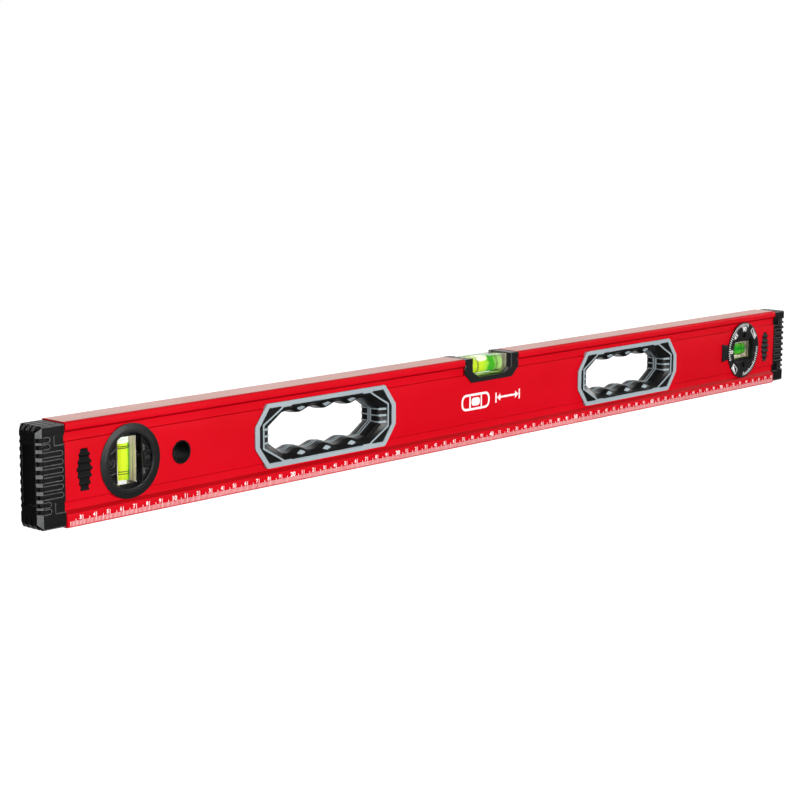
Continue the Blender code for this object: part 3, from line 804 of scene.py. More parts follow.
PRINT_LIFT = 0.03
RULE_FIRST, RULE_LAST = 21, 780  # millimetres from the left end
RULE_BOTTOM = 0.8
RULE_MARKS = [(10, 0.17, 6.5), (5, 0.16, 4.8), (1, 0.13, 3.6)]  # every so many, half width, top
STROKE_WIDENING = 0.028  # of the digits, as a share of their size
EMBLEM_Z = 30.6
VIAL_PICTURE_X = -17.0
ARROW_X = 19.0


def bar(low_x, high_x, low_z, high_z, height):
    half = ((high_x - low_x) / 2, (high_z - low_z) / 2, PRINT_LIFT)
    return block(half, ((low_x + high_x) / 2, (low_z + high_z) / 2, height))


def number_mesh(text):
    """Digits of unit height, centred on their width, as a thin solid."""
    curve = bpy.data.curves.new("digits", "FONT")
    curve.body = text
    curve.size = 1.0
    curve.resolution_u = 3
    curve.extrude = 0.5
    curve.offset = STROKE_WIDENING
    mesh = curve_mesh(curve)
    xs = [v.co.x for v in mesh.vertices]
    ys = [v.co.y for v in mesh.vertices]
    height = max(ys) - min(ys)
    for vertex in mesh.vertices:
        vertex.co.x = (vertex.co.x - (min(xs) + max(xs)) / 2) / height
        vertex.co.y = (vertex.co.y - min(ys)) / height
    return mesh


NUMBERS = {}


def number(text, x, y, high, height, wide=1.0, turn=0.0):
    """Digits in a face frame, standing on y, or turned about their own middle."""
    if text not in NUMBERS:
        NUMBERS[text] = number_mesh(text)
    shape = bmesh.new()
    shape.from_mesh(NUMBERS[text])
    bmesh.ops.remove_doubles(shape, verts=shape.verts, dist=1e-5)
    size = Matrix.Diagonal((high * wide * MM, high * MM, 2 * PRINT_LIFT * MM, 1.0))
    spin = Matrix.Rotation(turn, 4, "Z") @ shift(0.0, -high / 2)
    return moved(shape, shift(x, y + high / 2, height) @ spin @ size)


def make_rule():
    shapes = []
    for mark in range(RULE_FIRST, RULE_LAST + 1):
        x = mark - LENGTH / 2
        if mark % 100:
            half, top = next((half, top) for every, half, top in RULE_MARKS if mark % every == 0)
            shapes.append(bar(x - half, x + half, RULE_BOTTOM, top, FACE))
    for centimetre in range(3, RULE_LAST // 10 + 1):
        x = centimetre * 10 - LENGTH / 2
        if centimetre % 10 == 0:
            shapes.append(bar(x - 0.15, x + 0.15, RULE_BOTTOM, 3.2, FACE))
            shapes.append(number(str(centimetre), x, 3.6, 3.1, FACE, 1.05))
        else:
            shapes.append(number(str(centimetre % 10), x - 1.7, 4.1, 2.5, FACE))
    piece("rule_print", merge(shapes), face_frame("front", 0.0, 0.0), "print", LEVEL)


def ring_outline(half_x, half_y, width):
    outer = rounded(rectangle(half_x, half_y), min(half_x, half_y) * 0.98, 8)
    inner_x, inner_y = half_x - width, half_y - width
    inner = rounded(rectangle(inner_x, inner_y), min(inner_x, inner_y) * 0.98, 8)
    return [outer, inner]


def make_emblem():
    """A plain picture of a vial with its bubble, in place of any name, and a length arrow."""
    low, high = WEB - PRINT_LIFT, WEB + PRINT_LIFT
    vial = [
        prism(ring_outline(15.5, 5.9, 1.6), low, high),
        prism([rounded(rectangle(4.6, 2.9), 2.8, 8)], low, high),
    ]
    vial += [prism([rectangle(0.7, 4.6, (x, 0.0))], low, high) for x in (-6.2, 6.2)]
    arrow = [prism([rectangle(9.0, 0.7)], low, high)]
    for side in (-1, 1):
        arrow.append(prism([flipped([(12.2, 0.0), (8.4, 2.6), (8.4, -2.6)], side)], low, high))
        arrow.append(prism([rectangle(0.65, 3.6, (side * 13.3, 0.0))], low, high))
    shapes = [moved(shape, shift(VIAL_PICTURE_X, EMBLEM_Z)) for shape in vial]
    shapes += [moved(shape, shift(ARROW_X, EMBLEM_Z)) for shape in arrow]
    piece("vial_emblem", merge(shapes), face_frame("front", 0.0, 0.0), "print", LEVEL)


# Shock caps

CAP_INSET = 0.8
CAP_HALF_WIDE = FACE - CAP_INSET
CAP_CHAMFER = 2.8
CAP_CORNER = 0.9
RIB_PITCH = 4.86
RIB_HALF = 1.3
RIB_DEPTH = 1.0
LONG_RIB_Z = [20.2 + RIB_PITCH * i for i in range(6)]
SHORT_RIB_Z = [11.6, 15.6, 49.2, 53.2]
LONG_RIB_END, SHORT_RIB_END = 17.0, 8.1
SIDE_GROOVES = [(LONG_RIB_END, LONG_RIB_Z), (SHORT_RIB_END, SHORT_RIB_Z)]
TONGUE_LENGTH = 24.0
POCKETS_Z = [(9.9, 16.0), (49.4, 54.8)]
POCKET_X = (11.4, 18.6)
POCKET_DEPTH = 0.9
END_PANEL = (1.3, 6.6, 17.6)
END_PANEL_Z = 32.4
END_SLOT = (0.9, 0.45, 1.7)
END_SLOT_Y = (-2.45, 2.45)
END_SLOT_Z = 6.1
TOP_GROOVE_Y = (-6.9, -2.45, 2.45, 6.9)
TOP_GROOVE_END = 15.5
TOP_GROOVE_HALF = 0.75
BEYOND = 3.0  # how far a cutter reaches past the surface it cuts
RIM_WIDE = 0.42
HIGHLIGHT_FACET_AREA = 4e-5  # square metres; smaller sloped facets are edges and get the painted edge highlight
KEY_TIP = 2.35
KEY_STEPS = 96
KEY_RIB_PITCH = 4.3
KEY_RIB_CREST = 0.75


def cap_ring(along, inset):
    """The cap's outline at one distance from its outer end, its four corners cut off."""
    wide = CAP_HALF_WIDE - inset
    low, high = CAP_INSET + inset, HEIGHT - CAP_INSET - inset
    cut = CAP_CORNER
    half = [(wide - cut, low), (wide, low + cut), (wide, high - cut), (wide - cut, high)]
    return [(along, y, z) for y, z in rounded(mirrored(half), 0.5, 2)]


def side_groove(z, end, side):
    """A groove of a cap's side face: it starts as a notch in the end face and has a round tip."""
    floor = CAP_HALF_WIDE - RIB_DEPTH
    outside = FACE + BEYOND
    tip_at = end - RIB_HALF
    path = [
        (-BEYOND, CAP_HALF_WIDE - 3.4),
        (2.0, CAP_HALF_WIDE - 3.4),
        (2.0, CAP_HALF_WIDE - 2.0),
        (3.8, CAP_HALF_WIDE - 2.0),
        (4.8, floor),
        (tip_at, floor),
        (tip_at, outside),
        (-BEYOND, outside),
    ]
    groove = prism([[(x, side * y) for x, y in path]], -RIB_HALF, RIB_HALF)
    tip = lathe([(0.0, floor), (RIB_HALF, floor), (RIB_HALF, outside), (0.0, outside)], 24)
    turn = Matrix.Rotation(-side * math.pi / 2, 4, "X")
    return [moved(groove, shift(z=z)), moved(tip, shift(tip_at, 0.0, z) @ turn)]


def top_groove(y, side):
    surface = HEIGHT / 2 + side * (HEIGHT / 2 - CAP_INSET)
    path = [
        (-BEYOND, surface - side * (RIB_DEPTH + CAP_CHAMFER + BEYOND)),
        (CAP_CHAMFER, surface - side * RIB_DEPTH),
        (TOP_GROOVE_END, surface - side * RIB_DEPTH),
        (TOP_GROOVE_END, surface + side * BEYOND),
        (-BEYOND, surface + side * BEYOND),
    ]
    standing = shift(y=y) @ Matrix.Rotation(math.pi / 2, 4, "X")
    return moved(prism([path], -TOP_GROOVE_HALF, TOP_GROOVE_HALF), standing)


def cap_cutters():
    """Grooves and pockets of a cap in its own frame: x from the outer end inwards, y across, z up."""
    cuts = []
    for end, heights in SIDE_GROOVES:
        for z in heights:
            for side in (-1, 1):
                cuts += side_groove(z, end, side)
    middle_x, half_x = sum(POCKET_X) / 2, (POCKET_X[1] - POCKET_X[0]) / 2
    for low, high in POCKETS_Z:
        for side in (-1, 1):
            centre = (middle_x, side * CAP_HALF_WIDE, (low + high) / 2)
            cuts.append(block((half_x, POCKET_DEPTH, (high - low) / 2), centre))
    cuts.append(soften(block(END_PANEL, (0.0, 0.0, END_PANEL_Z)), 0.6))
    for y in END_SLOT_Y:
        cuts.append(block(END_SLOT, (0.0, y, END_SLOT_Z)))
    for y in TOP_GROOVE_Y:
        cuts += [top_groove(y, side) for side in (-1, 1)]
    return cuts


def groove_rim(z, end):
    """The outline of the rim round one side groove: along it, round its tip and back."""
    near, tip_at, quarter = CAP_CHAMFER + 0.6, end - RIB_HALF, math.pi / 2
    wide = RIB_HALF + RIM_WIDE
    rim = [(near, z + wide)] + arc(wide, quarter, -quarter, 12, (tip_at, z))
    rim += [(near, z - wide), (near, z - RIB_HALF)]
    return rim + arc(RIB_HALF, -quarter, quarter, 12, (tip_at, z)) + [(near, z + RIB_HALF)]


def pocket_rim(low, high):
    near, far = POCKET_X[0], POCKET_X[1] - 0.2
    inner = [(near, high), (near, low), (far, low)]
    return [(near - RIM_WIDE, high)] + inner + [(far, low - RIM_WIDE), (near - RIM_WIDE, low - RIM_WIDE)]


def slot_rims():
    """Thin rims of painted edge highlight round the side grooves and pockets of a cap, in the cap's own
    frame.
    """
    low, high = CAP_HALF_WIDE - 0.1, CAP_HALF_WIDE + 0.14
    outlines = [groove_rim(z, end) for end, heights in SIDE_GROOVES for z in heights]
    outlines += [pocket_rim(*heights) for heights in POCKETS_Z]
    shapes = []
    for outline in outlines:
        shapes.append(moved(prism([outline], low, high), Matrix.Rotation(math.pi / 2, 4, "X")))
        behind = [(x, -z) for x, z in outline]
        shapes.append(moved(prism([behind], low, high), Matrix.Rotation(-math.pi / 2, 4, "X")))
    return merge(shapes)


def make_cap(side):
    sign = -1 if side == "left" else 1
    end = LENGTH / 2
    shown = end - HALF_LENGTH - GAP
    place = shift(sign * end) @ Matrix.Diagonal((-sign, 1.0, 1.0, 1.0))
    rings = [cap_ring(0.0, CAP_CHAMFER), cap_ring(CAP_CHAMFER, 0.0), cap_ring(shown, 0.0)]
    item = link("cap", mesh_of(skin(rings), "cap"), PLAN)
    carve(item, [(shape, PLAN) for shape in cap_cutters()], ())
    shape = bmesh.new()
    shape.from_mesh(item.data)
    bpy.data.objects.remove(item, do_unlink=True)
    bmesh.ops.remove_doubles(shape, verts=shape.verts, dist=2e-6)
    dissolve_flat(shape, True)
    soften(shape, 0.32, 2, 25.0)
    half = TONGUE_LENGTH / 2
    tongue = soften(block((half, BAND - 2.1, 25.5), (shown + half - 0.5, 0.0, HEIGHT / 2)), 0.5)
    whole = moved(merge([shape, tongue]), place)
    cap = piece(f"{side}_cap_moulded", whole, PLAN, "rubber", LEVEL, [f"{side}_end_cap"], 10.0)
    # rims of painted edge highlight round the grooves and pockets
    piece(f"{side}_cap_highlight_rims", moved(slot_rims(), place), PLAN, "rubbed", LEVEL)
    cap.data.materials.append(MATERIALS["worn"])
    cap.data.materials.append(MATERIALS["rubbed"])
    for polygon in cap.data.polygons:
        across, out, up = (abs(value) for value in polygon.normal)
        from_end = end - abs(polygon.center.x) / MM
        # the end chamfers get the lighter grey of painted highlight
        if across > 0.4 and out > 0.4 and up < 0.3 and from_end < CAP_CHAMFER:
            polygon.material_index = 1
        # small sloped facets further in get the painted edge highlight
        elif 0.25 < out < 0.97 and from_end > CAP_CHAMFER + 2.2 and polygon.area < HIGHLIGHT_FACET_AREA:
            polygon.material_index = 2


def rib_rise(z):
    """How far the key's ribs stand out at a height, 0 to 1: a long slope and a short return."""
    phase = (z / KEY_RIB_PITCH) % 1.0
    return phase / KEY_RIB_CREST if phase < KEY_RIB_CREST else (1.0 - phase) / (1.0 - KEY_RIB_CREST)


def make_key(side):
    """The ribbed rubber key that fills the hexagonal window and laps over its edge."""
    at = KEY_AT[side]
    high, wide = KEY_HALF.z, KEY_HALF.x
    rings = []
    for step in range(KEY_STEPS + 1):
        z = -high + 2 * high * step / KEY_STEPS
        half = KEY_TIP + (wide - KEY_TIP) * (1.0 - abs(z) / high)
        rise = rib_rise(z)
        top, lip = FACE - 0.05 - 1.6 * rise, half + 1.0 - 0.9 * rise
        low = min(WEB + 0.06, top - 0.3)
        section = []
        for out in (-1, 1):
            section += [(-out * half, out * (low - 0.1)), (-out * lip, out * low), (-out * lip, out * top)]
            section += [(out * lip, out * top), (out * lip, out * low), (out * half, out * (low - 0.1))]
        rings.append([(x, y, z) for x, y in section])
    key = skin(rings)
    piece(f"{side}_key_ribbed", key, shift(at.x, 0.0, at.z), "matte", LEVEL, [f"{side}_cap_key"])


# Hand grips

GRIP_OUTER = (65.3, 20.9, 10.5, 13.9)
GRIP_PLATE = (65.0, 20.6, 10.4, 13.8)
BAND_INNER = [(32.0, 18.3), (33.7, 17.2), (41.6, 17.2), (43.2, 18.1), (52.8, 18.1), (61.4, 6.4)]
LIP_OUTER = [(41.0, 17.7), (58.5, 7.9)]
LIP_INNER = [(40.4, 16.7), (57.3, 7.2)]
GRIP_TRAY = [  # height above the web, then the octagon of the grip face's sunk tray
    (0.05, GRIP_PLATE),
    (0.22, GRIP_PLATE),
    (0.22, (58.8, 17.6, 16.3, 9.1)),
    (0.55, (58.5, 17.3, 16.2, 9.0)),
    (0.6, (57.6, 16.8, 15.4, 8.6)),
]
WALL_HEIGHTS = (10.4, 9.9, 9.4, 8.9, 8.4, 8.0, 7.0, 6.0, 5.0, 4.0, 3.0, 2.0, 1.0)
BAND_ROUNDING = [3.0, 4.0, 4.0, 3.0, 3.0, 4.0, 4.0, 3.0]
SKIRT = [(57.0, 17.8), (54.8, 20.7), (-54.8, 20.7), (-57.0, 17.8)]
BELT_HEIGHTS = (0.6, 1.0, 1.4)
STRIPES_Z = (-4.5, 0.0, 4.4)
PAD_HALF_LONG = 4.2
PAD_HEIGHT = 9.5
PAD_HALF_RISE = 0.68
SUNK = -0.4  # how deep the rubber starts in the moulding
BUMP_PITCH = 23.5
BUMP_SPAN = 41.0
EDGE_STEPS = 84
OPENING = [  # height, half length, half height, corner cuts, height of the finger bumps
    (0.0, 50.6, 12.1, 11.5, 7.8, 1.35),
    (3.0, 50.7, 12.2, 11.5, 7.8, 1.35),
    (5.0, 50.8, 12.4, 11.6, 7.8, 1.35),
    (7.0, 51.0, 12.8, 11.7, 7.7, 1.3),
    (8.2, 51.7, 13.4, 12.2, 7.6, 1.2),
    (9.0, 53.4, 14.5, 13.3, 8.0, 0.9),
    (9.8, 55.7, 15.7, 14.5, 8.4, 0.45),
    (10.5, 57.3, 16.5, 15.2, 8.5, 0.0),
]


def opening_sizes(height):
    for low, high in zip(OPENING, OPENING[1:]):
        if height <= high[0]:
            t = (height - low[0]) / (high[0] - low[0])
            return [a + (b - a) * t for a, b in zip(low[1:], high[1:])]
    return list(OPENING[-1][1:])


def bumps(x):
    """The finger bumps along the opening: narrow crests between wide hollows."""
    fade = max(0.0, 1.0 - (x / BUMP_SPAN) ** 6)
    crest = (0.5 + 0.5 * math.cos(2 * math.pi * x / BUMP_PITCH)) ** 1.3
    return fade * (2.0 * crest - 1.0)


def opening_loop(height, sizes, bump, lift=0.0):
    """One closed loop of the hand opening, anticlockwise from the top right."""
    half_long, half_high, cut_long, cut_high = shrunk(sizes, lift) if lift else sizes
    reach = half_long - cut_long
    points = []
    for side in (1, -1):
        for step in range(EDGE_STEPS + 1):
            x = side * reach * (1 - 2 * step / EDGE_STEPS)
            points.append((x, side * (half_high - bump * bumps(x)), height))
        points.append((-side * half_long, side * (half_high - cut_high), height))
        points.append((-side * half_long, -side * (half_high - cut_high), height))
    return points


def wall_loop(height, lift=0.0):
    *sizes, bump = opening_sizes(height)
    return opening_loop(height, sizes, bump, lift)


def make_grip_half(side, face):
    at = GRIP_AT[side]
    place = face_frame(face, at.x, at.z)
    name = f"{side}_grip_{face}"
    low = 0.12
    tunnel = shrunk(GRIP_WALL_HOLE, GAP)
    loops = [opening_loop(low, tunnel, 0.0), opening_loop(WEB + 0.05, tunnel, 0.0)]
    loops += [opening_loop(WEB + height, sizes, 0.0) for height, sizes in GRIP_TRAY]
    loops += [wall_loop(height) for height in (*WALL_HEIGHTS, low)]
    shell = skin(loops, closed_along=True)
    piece(name + "_moulding", shell, place, "grip", LEVEL, [name + "_shell"], 24.0)
    make_grip_rubber(name, place)


def rubber_lines():
    """The outer band, the skirts under it, the lip lines at both ends and the belt inside the opening."""
    outer = rounded(octagon(*GRIP_OUTER), BAND_ROUNDING, 5)
    inner = mirrored(BAND_INNER + below(BAND_INNER))
    shapes = [soften(prism([outer, inner], WEB + GAP, FACE), 0.22, 2)]
    for up in (-1, 1):
        skirt = [(x, up * z) for x, z in SKIRT]
        shapes.append(prism([skirt], BAND + 0.1, WEB + GAP + 0.05))
    lip = LIP_OUTER + below(LIP_OUTER) + below(LIP_INNER[::-1]) + LIP_INNER[::-1]
    for side in (-1, 1):
        shapes.append(soften(prism([flipped(lip, side)], WEB + 0.3, WEB + 0.9), 0.15, 1))
    belt = [wall_loop(height, 0.22) for height in BELT_HEIGHTS]
    belt += [wall_loop(height, SUNK) for height in reversed(BELT_HEIGHTS)]
    shapes.append(skin(belt, closed_along=True))
    return shapes


def end_stripes(side):
    """Three stripes up one end wall, each wider at its outer end, and a foot across them."""
    def wall(height, z, lift):
        return (side * (opening_sizes(height)[0] - lift), z, height)

    shapes = []
    for z in STRIPES_Z:
        narrow = [0.3 + 7.9 * step / 10 for step in range(11)]
        wide = [8.2 + 2.0 * step / 6 for step in range(7)]
        shapes.append(patch(wall, narrow, [z - 0.42, z, z + 0.42], SUNK, 0.26))
        shapes.append(patch(wall, wide, [z - 0.7, z, z + 0.7], -0.5, 0.42))
    shapes.append(patch(wall, [0.3, 0.9, 1.7], [-5.4, -2.7, 0.0, 2.7, 5.4], SUNK, 0.25))
    return shapes


def finger_pad(side, middle_x):
    """A rounded lozenge on the slope above one finger bump."""
    def slope(a, b, lift):
        x = middle_x + PAD_HALF_LONG * (a + b) / 2 * (1 - 0.12 * abs(a * b))
        height = PAD_HEIGHT + PAD_HALF_RISE * (a - b) / 2
        _, half_high, _, _, bump = opening_sizes(height)
        return (x, side * (half_high - bump * bumps(x) - lift), height)

    ticks = [-1.0, -0.5, 0.0, 0.5, 1.0]
    return patch(slope, ticks, ticks, SUNK, 0.32)


def make_grip_rubber(name, place):
    shapes = rubber_lines()
    for side in (-1, 1):
        shapes += end_stripes(side)
        shapes += [finger_pad(side, x) for x in (-BUMP_PITCH, 0.0, BUMP_PITCH)]
    piece(name + "_rubber", merge(shapes), place, "grey", LEVEL, [name + "_trim"])


# Vials

SPIRIT_START = 2.0  # from the block's end to the blind end of the bore
SPIRIT_STOP = 4.1  # from the block's other end to the plug
BARREL = 0.35  # how much narrower the bore is at its ends
LINE_WIRE = 0.13
VIALS = [
    # name, node, body, upright, bore, the bubble's place from the middle and its half size,
    # places of the ring lines along the bore, spirit
    (
        "plumb", "plumb", LEVEL, True, 4.8, (0.0, 0.0, PLUMB_BLOCK.z - 3.9), (4.6, 4.6, 2.0),
        (-7.0, -8.4, 7.0, 8.0), "liquid",
    ),
    (
        "main", "main", LEVEL, False, 5.0, (-4.5, 0.0, 3.6), (8.3, 4.1, 2.0),
        (-10.4, -9.3, 10.4, 11.6), "liquid_banded",
    ),
    (
        "angle", "rotary", DIAL, False, 4.6, (0.0, 0.0, 2.9), (4.2, 2.8, 1.5),
        (-5.0, 5.0), "liquid_deep",
    ),
]


def spirit_shape(bore, bottom, top, steps=12):
    profile = [(0.0, bottom)]
    for step in range(steps + 1):
        t = step / steps
        profile.append((bore - BARREL * (2 * t - 1) ** 2, bottom + (top - bottom) * t))
    return lathe(profile + [(0.0, top)], 64)


def bubble_shape(half):
    shape = bmesh.new()
    bmesh.ops.create_uvsphere(shape, u_segments=32, v_segments=20, radius=MM)
    bmesh.ops.scale(shape, vec=half, verts=shape.verts)
    return shape


def ring_lines(bore, offsets):
    """Flat rings printed on the bore at its lines."""
    rings = []
    for offset in offsets:
        around = [math.pi / 2 * quarter for quarter in range(4)]
        loop = [(bore + 0.12 + LINE_WIRE * math.cos(a), offset + 2 * LINE_WIRE * math.sin(a)) for a in around]
        rings.append(lathe(loop, 64))
    return merge(rings)


def make_vial(name, node, body, upright, bore, bubble_from, bubble_half, lines, liquid):
    """A clear block with its bore filled, closed by a plug, and what its flat sides show."""
    half = half_size(f"{node}_vial_block")
    block_at = middle(f"{node}_vial_block")
    centre = shift(block_at.x, 0.0, block_at.z)
    place = centre if upright else centre @ Matrix.Rotation(math.pi / 2, 4, "Y")  # z along the bore
    long = half.z if upright else half.x
    bottom, top = SPIRIT_START - long, long - SPIRIT_STOP
    solid = soften(block(half), 0.35, 3)
    piece(f"{name}_acrylic", solid, centre, "acrylic", body, [f"{node}_vial_block"])
    spirit = spirit_shape(bore, bottom, top)
    piece(f"{name}_spirit", spirit, place, liquid, body, [f"{node}_vial_liquid"])
    start, stop, plug_r = top + 0.1, long - 0.05, bore - 0.3
    plug = soften(lathe([(0.0, start), (plug_r, start), (plug_r, stop), (0.0, stop)], 48), 0.2)
    piece(f"{name}_stopper", plug, place, "acrylic", body, [f"{node}_vial_plug"])
    bubble_at = centre @ shift(*bubble_from)
    piece(f"{name}_bubble", bubble_shape(bubble_half), bubble_at, "bubble", body)
    piece(f"{name}_lines", ring_lines(bore, lines), place, "ink", body)
    ends = [block((0.12, half.y - 0.5, half.z - 0.6), (side * (half.x - 0.4), 0.0, 0.0)) for side in (-1, 1)]
    piece(f"{name}_frosted_ends", merge(ends), centre, "frost", body)
    if not upright:
        panel = soften(block((half.x - 0.8, half.y - 0.6, 0.15), (0.0, 0.0, 0.4 - half.z)), 0.08)
        piece(f"{name}_panel", panel, centre, "lime_panel", body)
    if body == DIAL:
        strip = (half.x - 0.9, 0.1, (half.z - bore - 0.5) / 2)
        strips = [block(strip, (0.0, 0.0, side * (half.z + bore - 0.1) / 2)) for side in (-1, 1)]
        piece(f"{name}_backing", merge(strips), centre, "frost", body)


# Screws

SCREW_TOP = WEB - 0.5
SCREW_PROFILE = [
    (0.0, -7.5),
    (1.1, -7.5),
    (1.1, SCREW_TOP - 1.3),
    (2.0, SCREW_TOP - 1.2),
    (2.1, SCREW_TOP - 0.4),
    (1.7, SCREW_TOP - 0.05),
    (0.0, SCREW_TOP),
]
CROSS_ARMS = [(1.4, 0.28, 0.7), (0.28, 1.4, 0.7)]
PLUMB_SCREW_X = 14.0
DIAL_SCREW_Z = 12.8


def make_screw(unit, side, body, x, z):
    """A countersunk screw with a cross recess."""
    place = face_frame("front", x, z)
    name = f"{unit}_fixing_{side}"
    item = link(name, mesh_of(lathe(SCREW_PROFILE, 40), name), place)
    top = place @ shift(z=SCREW_TOP)
    carve(item, [(soften(block(arm), 0.1), top) for arm in CROSS_ARMS], ["screw"])
    put_on_body(item, body, [f"{unit}_screw_{side}"], 30.0)


def make_screws():
    for side, offset in (("left", -PLUMB_SCREW_X), ("right", PLUMB_SCREW_X)):
        make_screw("plumb", side, LEVEL, PLUMB_AT.x + offset, PLUMB_AT.z)
    for side, offset in (("upper", DIAL_SCREW_Z), ("lower", -DIAL_SCREW_Z)):
        make_screw("rotary", side, DIAL, DIAL_AT.x, DIAL_AT.z + offset)


# Plumb vial unit

PLUMB_MOUTH = 16.5
PLUMB_TUBE = 20.2
PLUMB_RIM = 22.65
PAD_EDGE = 9.6
PLUMB_PROFILE = [
    (PLUMB_MOUTH, 0.15),
    (PLUMB_TUBE, 0.15),
    (PLUMB_TUBE, WEB + GAP),
    (PLUMB_RIM - 0.1, WEB + GAP),
    (PLUMB_RIM, WEB + 0.35),
    (PLUMB_RIM - 0.1, WEB + 0.5),
    (PLUMB_MOUTH + 2.6, FACE - 0.12),
    (PLUMB_MOUTH + 2.5, FACE - 0.02),
    (PLUMB_MOUTH + 1.0, FACE),
    (PLUMB_MOUTH + 0.75, FACE - 0.3),
    (PLUMB_MOUTH + 0.3, FACE - 0.35),
    (PLUMB_MOUTH, FACE - 0.8),
]
BOSS_PLATE = [(11.2, 3.0), (12.4, 4.5), (16.0, 4.3), (16.0, -4.3), (12.4, -4.5), (11.2, -3.0)]
BOSS_WEDGES = [
    [(9.8, 9.2), (10.2, 4.3), (12.2, 6.4), (15.2, 5.4)],
    [(10.0, -5.4), (10.1, -10.3), (12.6, -6.4), (15.2, -6.7)],
]
WEDGE_TOP = 0.55  # size of a wedge's top, as a share of its foot


def plumb_side(side):
    """What stands on one side of the vial: the pad, its raised wedges, the cradle and the column."""
    screw = (side * PLUMB_SCREW_X, 0.0)
    inside = PLUMB_MOUTH + 0.4
    pad = flipped(disc_segment(inside, PAD_EDGE), side)
    cradle = [(y, side * x) for x, y in disc_segment(inside, PLUMB_BLOCK.z + GAP)]
    return [
        soften(prism([pad, circle(2.4, 40, screw)], WEB - 2.2, WEB - 0.6), 0.2),
        boss_ribs(side, screw),
        prism([cradle], GAP, 7.5),
        prism([circle(2.7, 40, screw), circle(1.35, 24, screw)], GAP, WEB - 2.0),
    ]


def boss_ribs(side, screw):
    """A plate round a screw and two wedges beside it, on the pad next to the vial."""
    low, high = WEB - 0.8, WEB + 0.3
    plate = flipped(BOSS_PLATE, side)
    shapes = [soften(prism([plate, circle(2.35, 40, screw)], low, WEB - 0.1), 0.2)]
    for wedge in BOSS_WEDGES:
        foot = flipped(wedge, side)
        centre = [sum(values) / len(foot) * (1 - WEDGE_TOP) for values in zip(*foot)]
        top = [(x * WEDGE_TOP + centre[0], y * WEDGE_TOP + centre[1]) for x, y in foot]
        shapes.append(skin([[(x, y, low) for x, y in foot], [(x, y, high) for x, y in top]]))
    return merge(shapes)


def make_plumb_half(face):
    shapes = [lathe(PLUMB_PROFILE, 128)] + plumb_side(-1) + plumb_side(1)
    place = face_frame(face, PLUMB_AT.x, PLUMB_AT.z)
    name = f"plumb_mount_{face}"
    mount = piece(name, merge(shapes), place, "plastic", LEVEL, [f"plumb_housing_{face}"])
    mount.data.materials.append(MATERIALS["rubbed"])
    mount.data.materials.append(MATERIALS["rubber"])
    # Inside the mouth: sloped faces near the top get the painted edge highlight, the rest a darker black as
    # painted shade of the recess.
    for polygon in mount.data.polygons:
        x, y, height = polygon.center / MM
        sloped = 0.15 < abs(polygon.normal.z) < 0.97
        if math.hypot(x, y) < PLUMB_MOUTH - 0.2:
            polygon.material_index = 1 if sloped and height > WEB - 0.75 else 2


# Main vial unit

NOTCH_FLANGE = [
    (30.0, 61.9), (30.0, 59.6), (28.8, 58.4), (28.8, 57.0), (30.0, 55.6), (30.0, 51.2), (22.4, 44.4),
]
NOTCH_CORE = [(29.6, 61.8), (29.6, 56.15), (28.5, 56.15), (28.5, 51.3), (21.8, 45.8)]
NOTCH_WINDOW = [(21.3, 52.3), (14.1, 47.9)]
NOTCH_THROAT = [(19.9, 51.5), (12.6, 47.95)]
NOTCH_FACE = WEB + 0.8
CORE_TOP, FLANGE_TOP = 61.8, 61.9


def cradle_outline(outer, inner, top):
    """A U open at the top: the outer half from the top down, then the inner half from the bottom up."""
    left_inside = [(-x, z) for x, z in [(inner[0][0], top)] + inner]
    return mirrored(outer) + left_inside + inner[::-1] + [(inner[0][0], top)]


def make_main_housing():
    deep = MAIN_BLOCK.y + GAP
    trough = [(MAIN_BLOCK.x + GAP, MAIN_AT.z - MAIN_BLOCK.z - GAP)]
    core = prism([cradle_outline(NOTCH_CORE, trough, CORE_TOP)], -deep, deep)
    shapes = [soften(core, 0.12, 1)]
    outline = cradle_outline(NOTCH_FLANGE, NOTCH_WINDOW, FLANGE_TOP)
    narrow = cradle_outline(NOTCH_CORE, NOTCH_THROAT, CORE_TOP)
    wide = cradle_outline(NOTCH_CORE, NOTCH_WINDOW, CORE_TOP)
    for turn in (PLAN, Matrix.Rotation(math.pi, 4, "Y")):
        plate = soften(prism([outline], WEB + GAP, NOTCH_FACE), 0.3, 2)
        throat = skin([[(x, z, deep - 0.05) for x, z in narrow], [(x, z, WEB + GAP + 0.05) for x, z in wide]])
        shapes += [moved(plate, turn), moved(throat, turn)]
    place = face_frame("front", 0.0, 0.0)
    piece("main_cradle", merge(shapes), place, "plastic", LEVEL, ["main_vial_housing"])


# Rotary vial unit

DIAL_TOP = FACE - 0.2
SEAT_R, SEAT_BORE = 21.8, 19.4
DIAL_BODY_R = 19.1
DISH = (15.2, 9.55)  # radius, and half height where it is cut off flat
BASIN = (14.6, 8.6)
SIGHT = (13.3, 6.9)
SIGHT_BACK, SIGHT_FRONT, SCREW_SEAT = 7.25, 8.0, 8.6
SCREW_HOLE_R, SCREW_SINK_R = 1.9, 2.6
SCALES = [  # first angle, marks, inner end of each fifth one and of the rest, outer end, half width
    (73.0, 26, 19.7, 20.3, 22.6, 0.32),
    (-88.0, 19, 18.6, 19.6, 21.8, 0.34),
]
DIAL_NUMBERS = [("90", 0.7, 17.7), ("45", -12.5, 12.5), ("0", -18.1, 0.0)]
DIAL_NUMBER_HIGH = 4.4
SLOPE_PICTURES = [(41.0, 2.0, 5.0), (228.0, 2.6, 4.2)]  # angle, half width outwards and across
SLOPE_PICTURE_R = 19.8


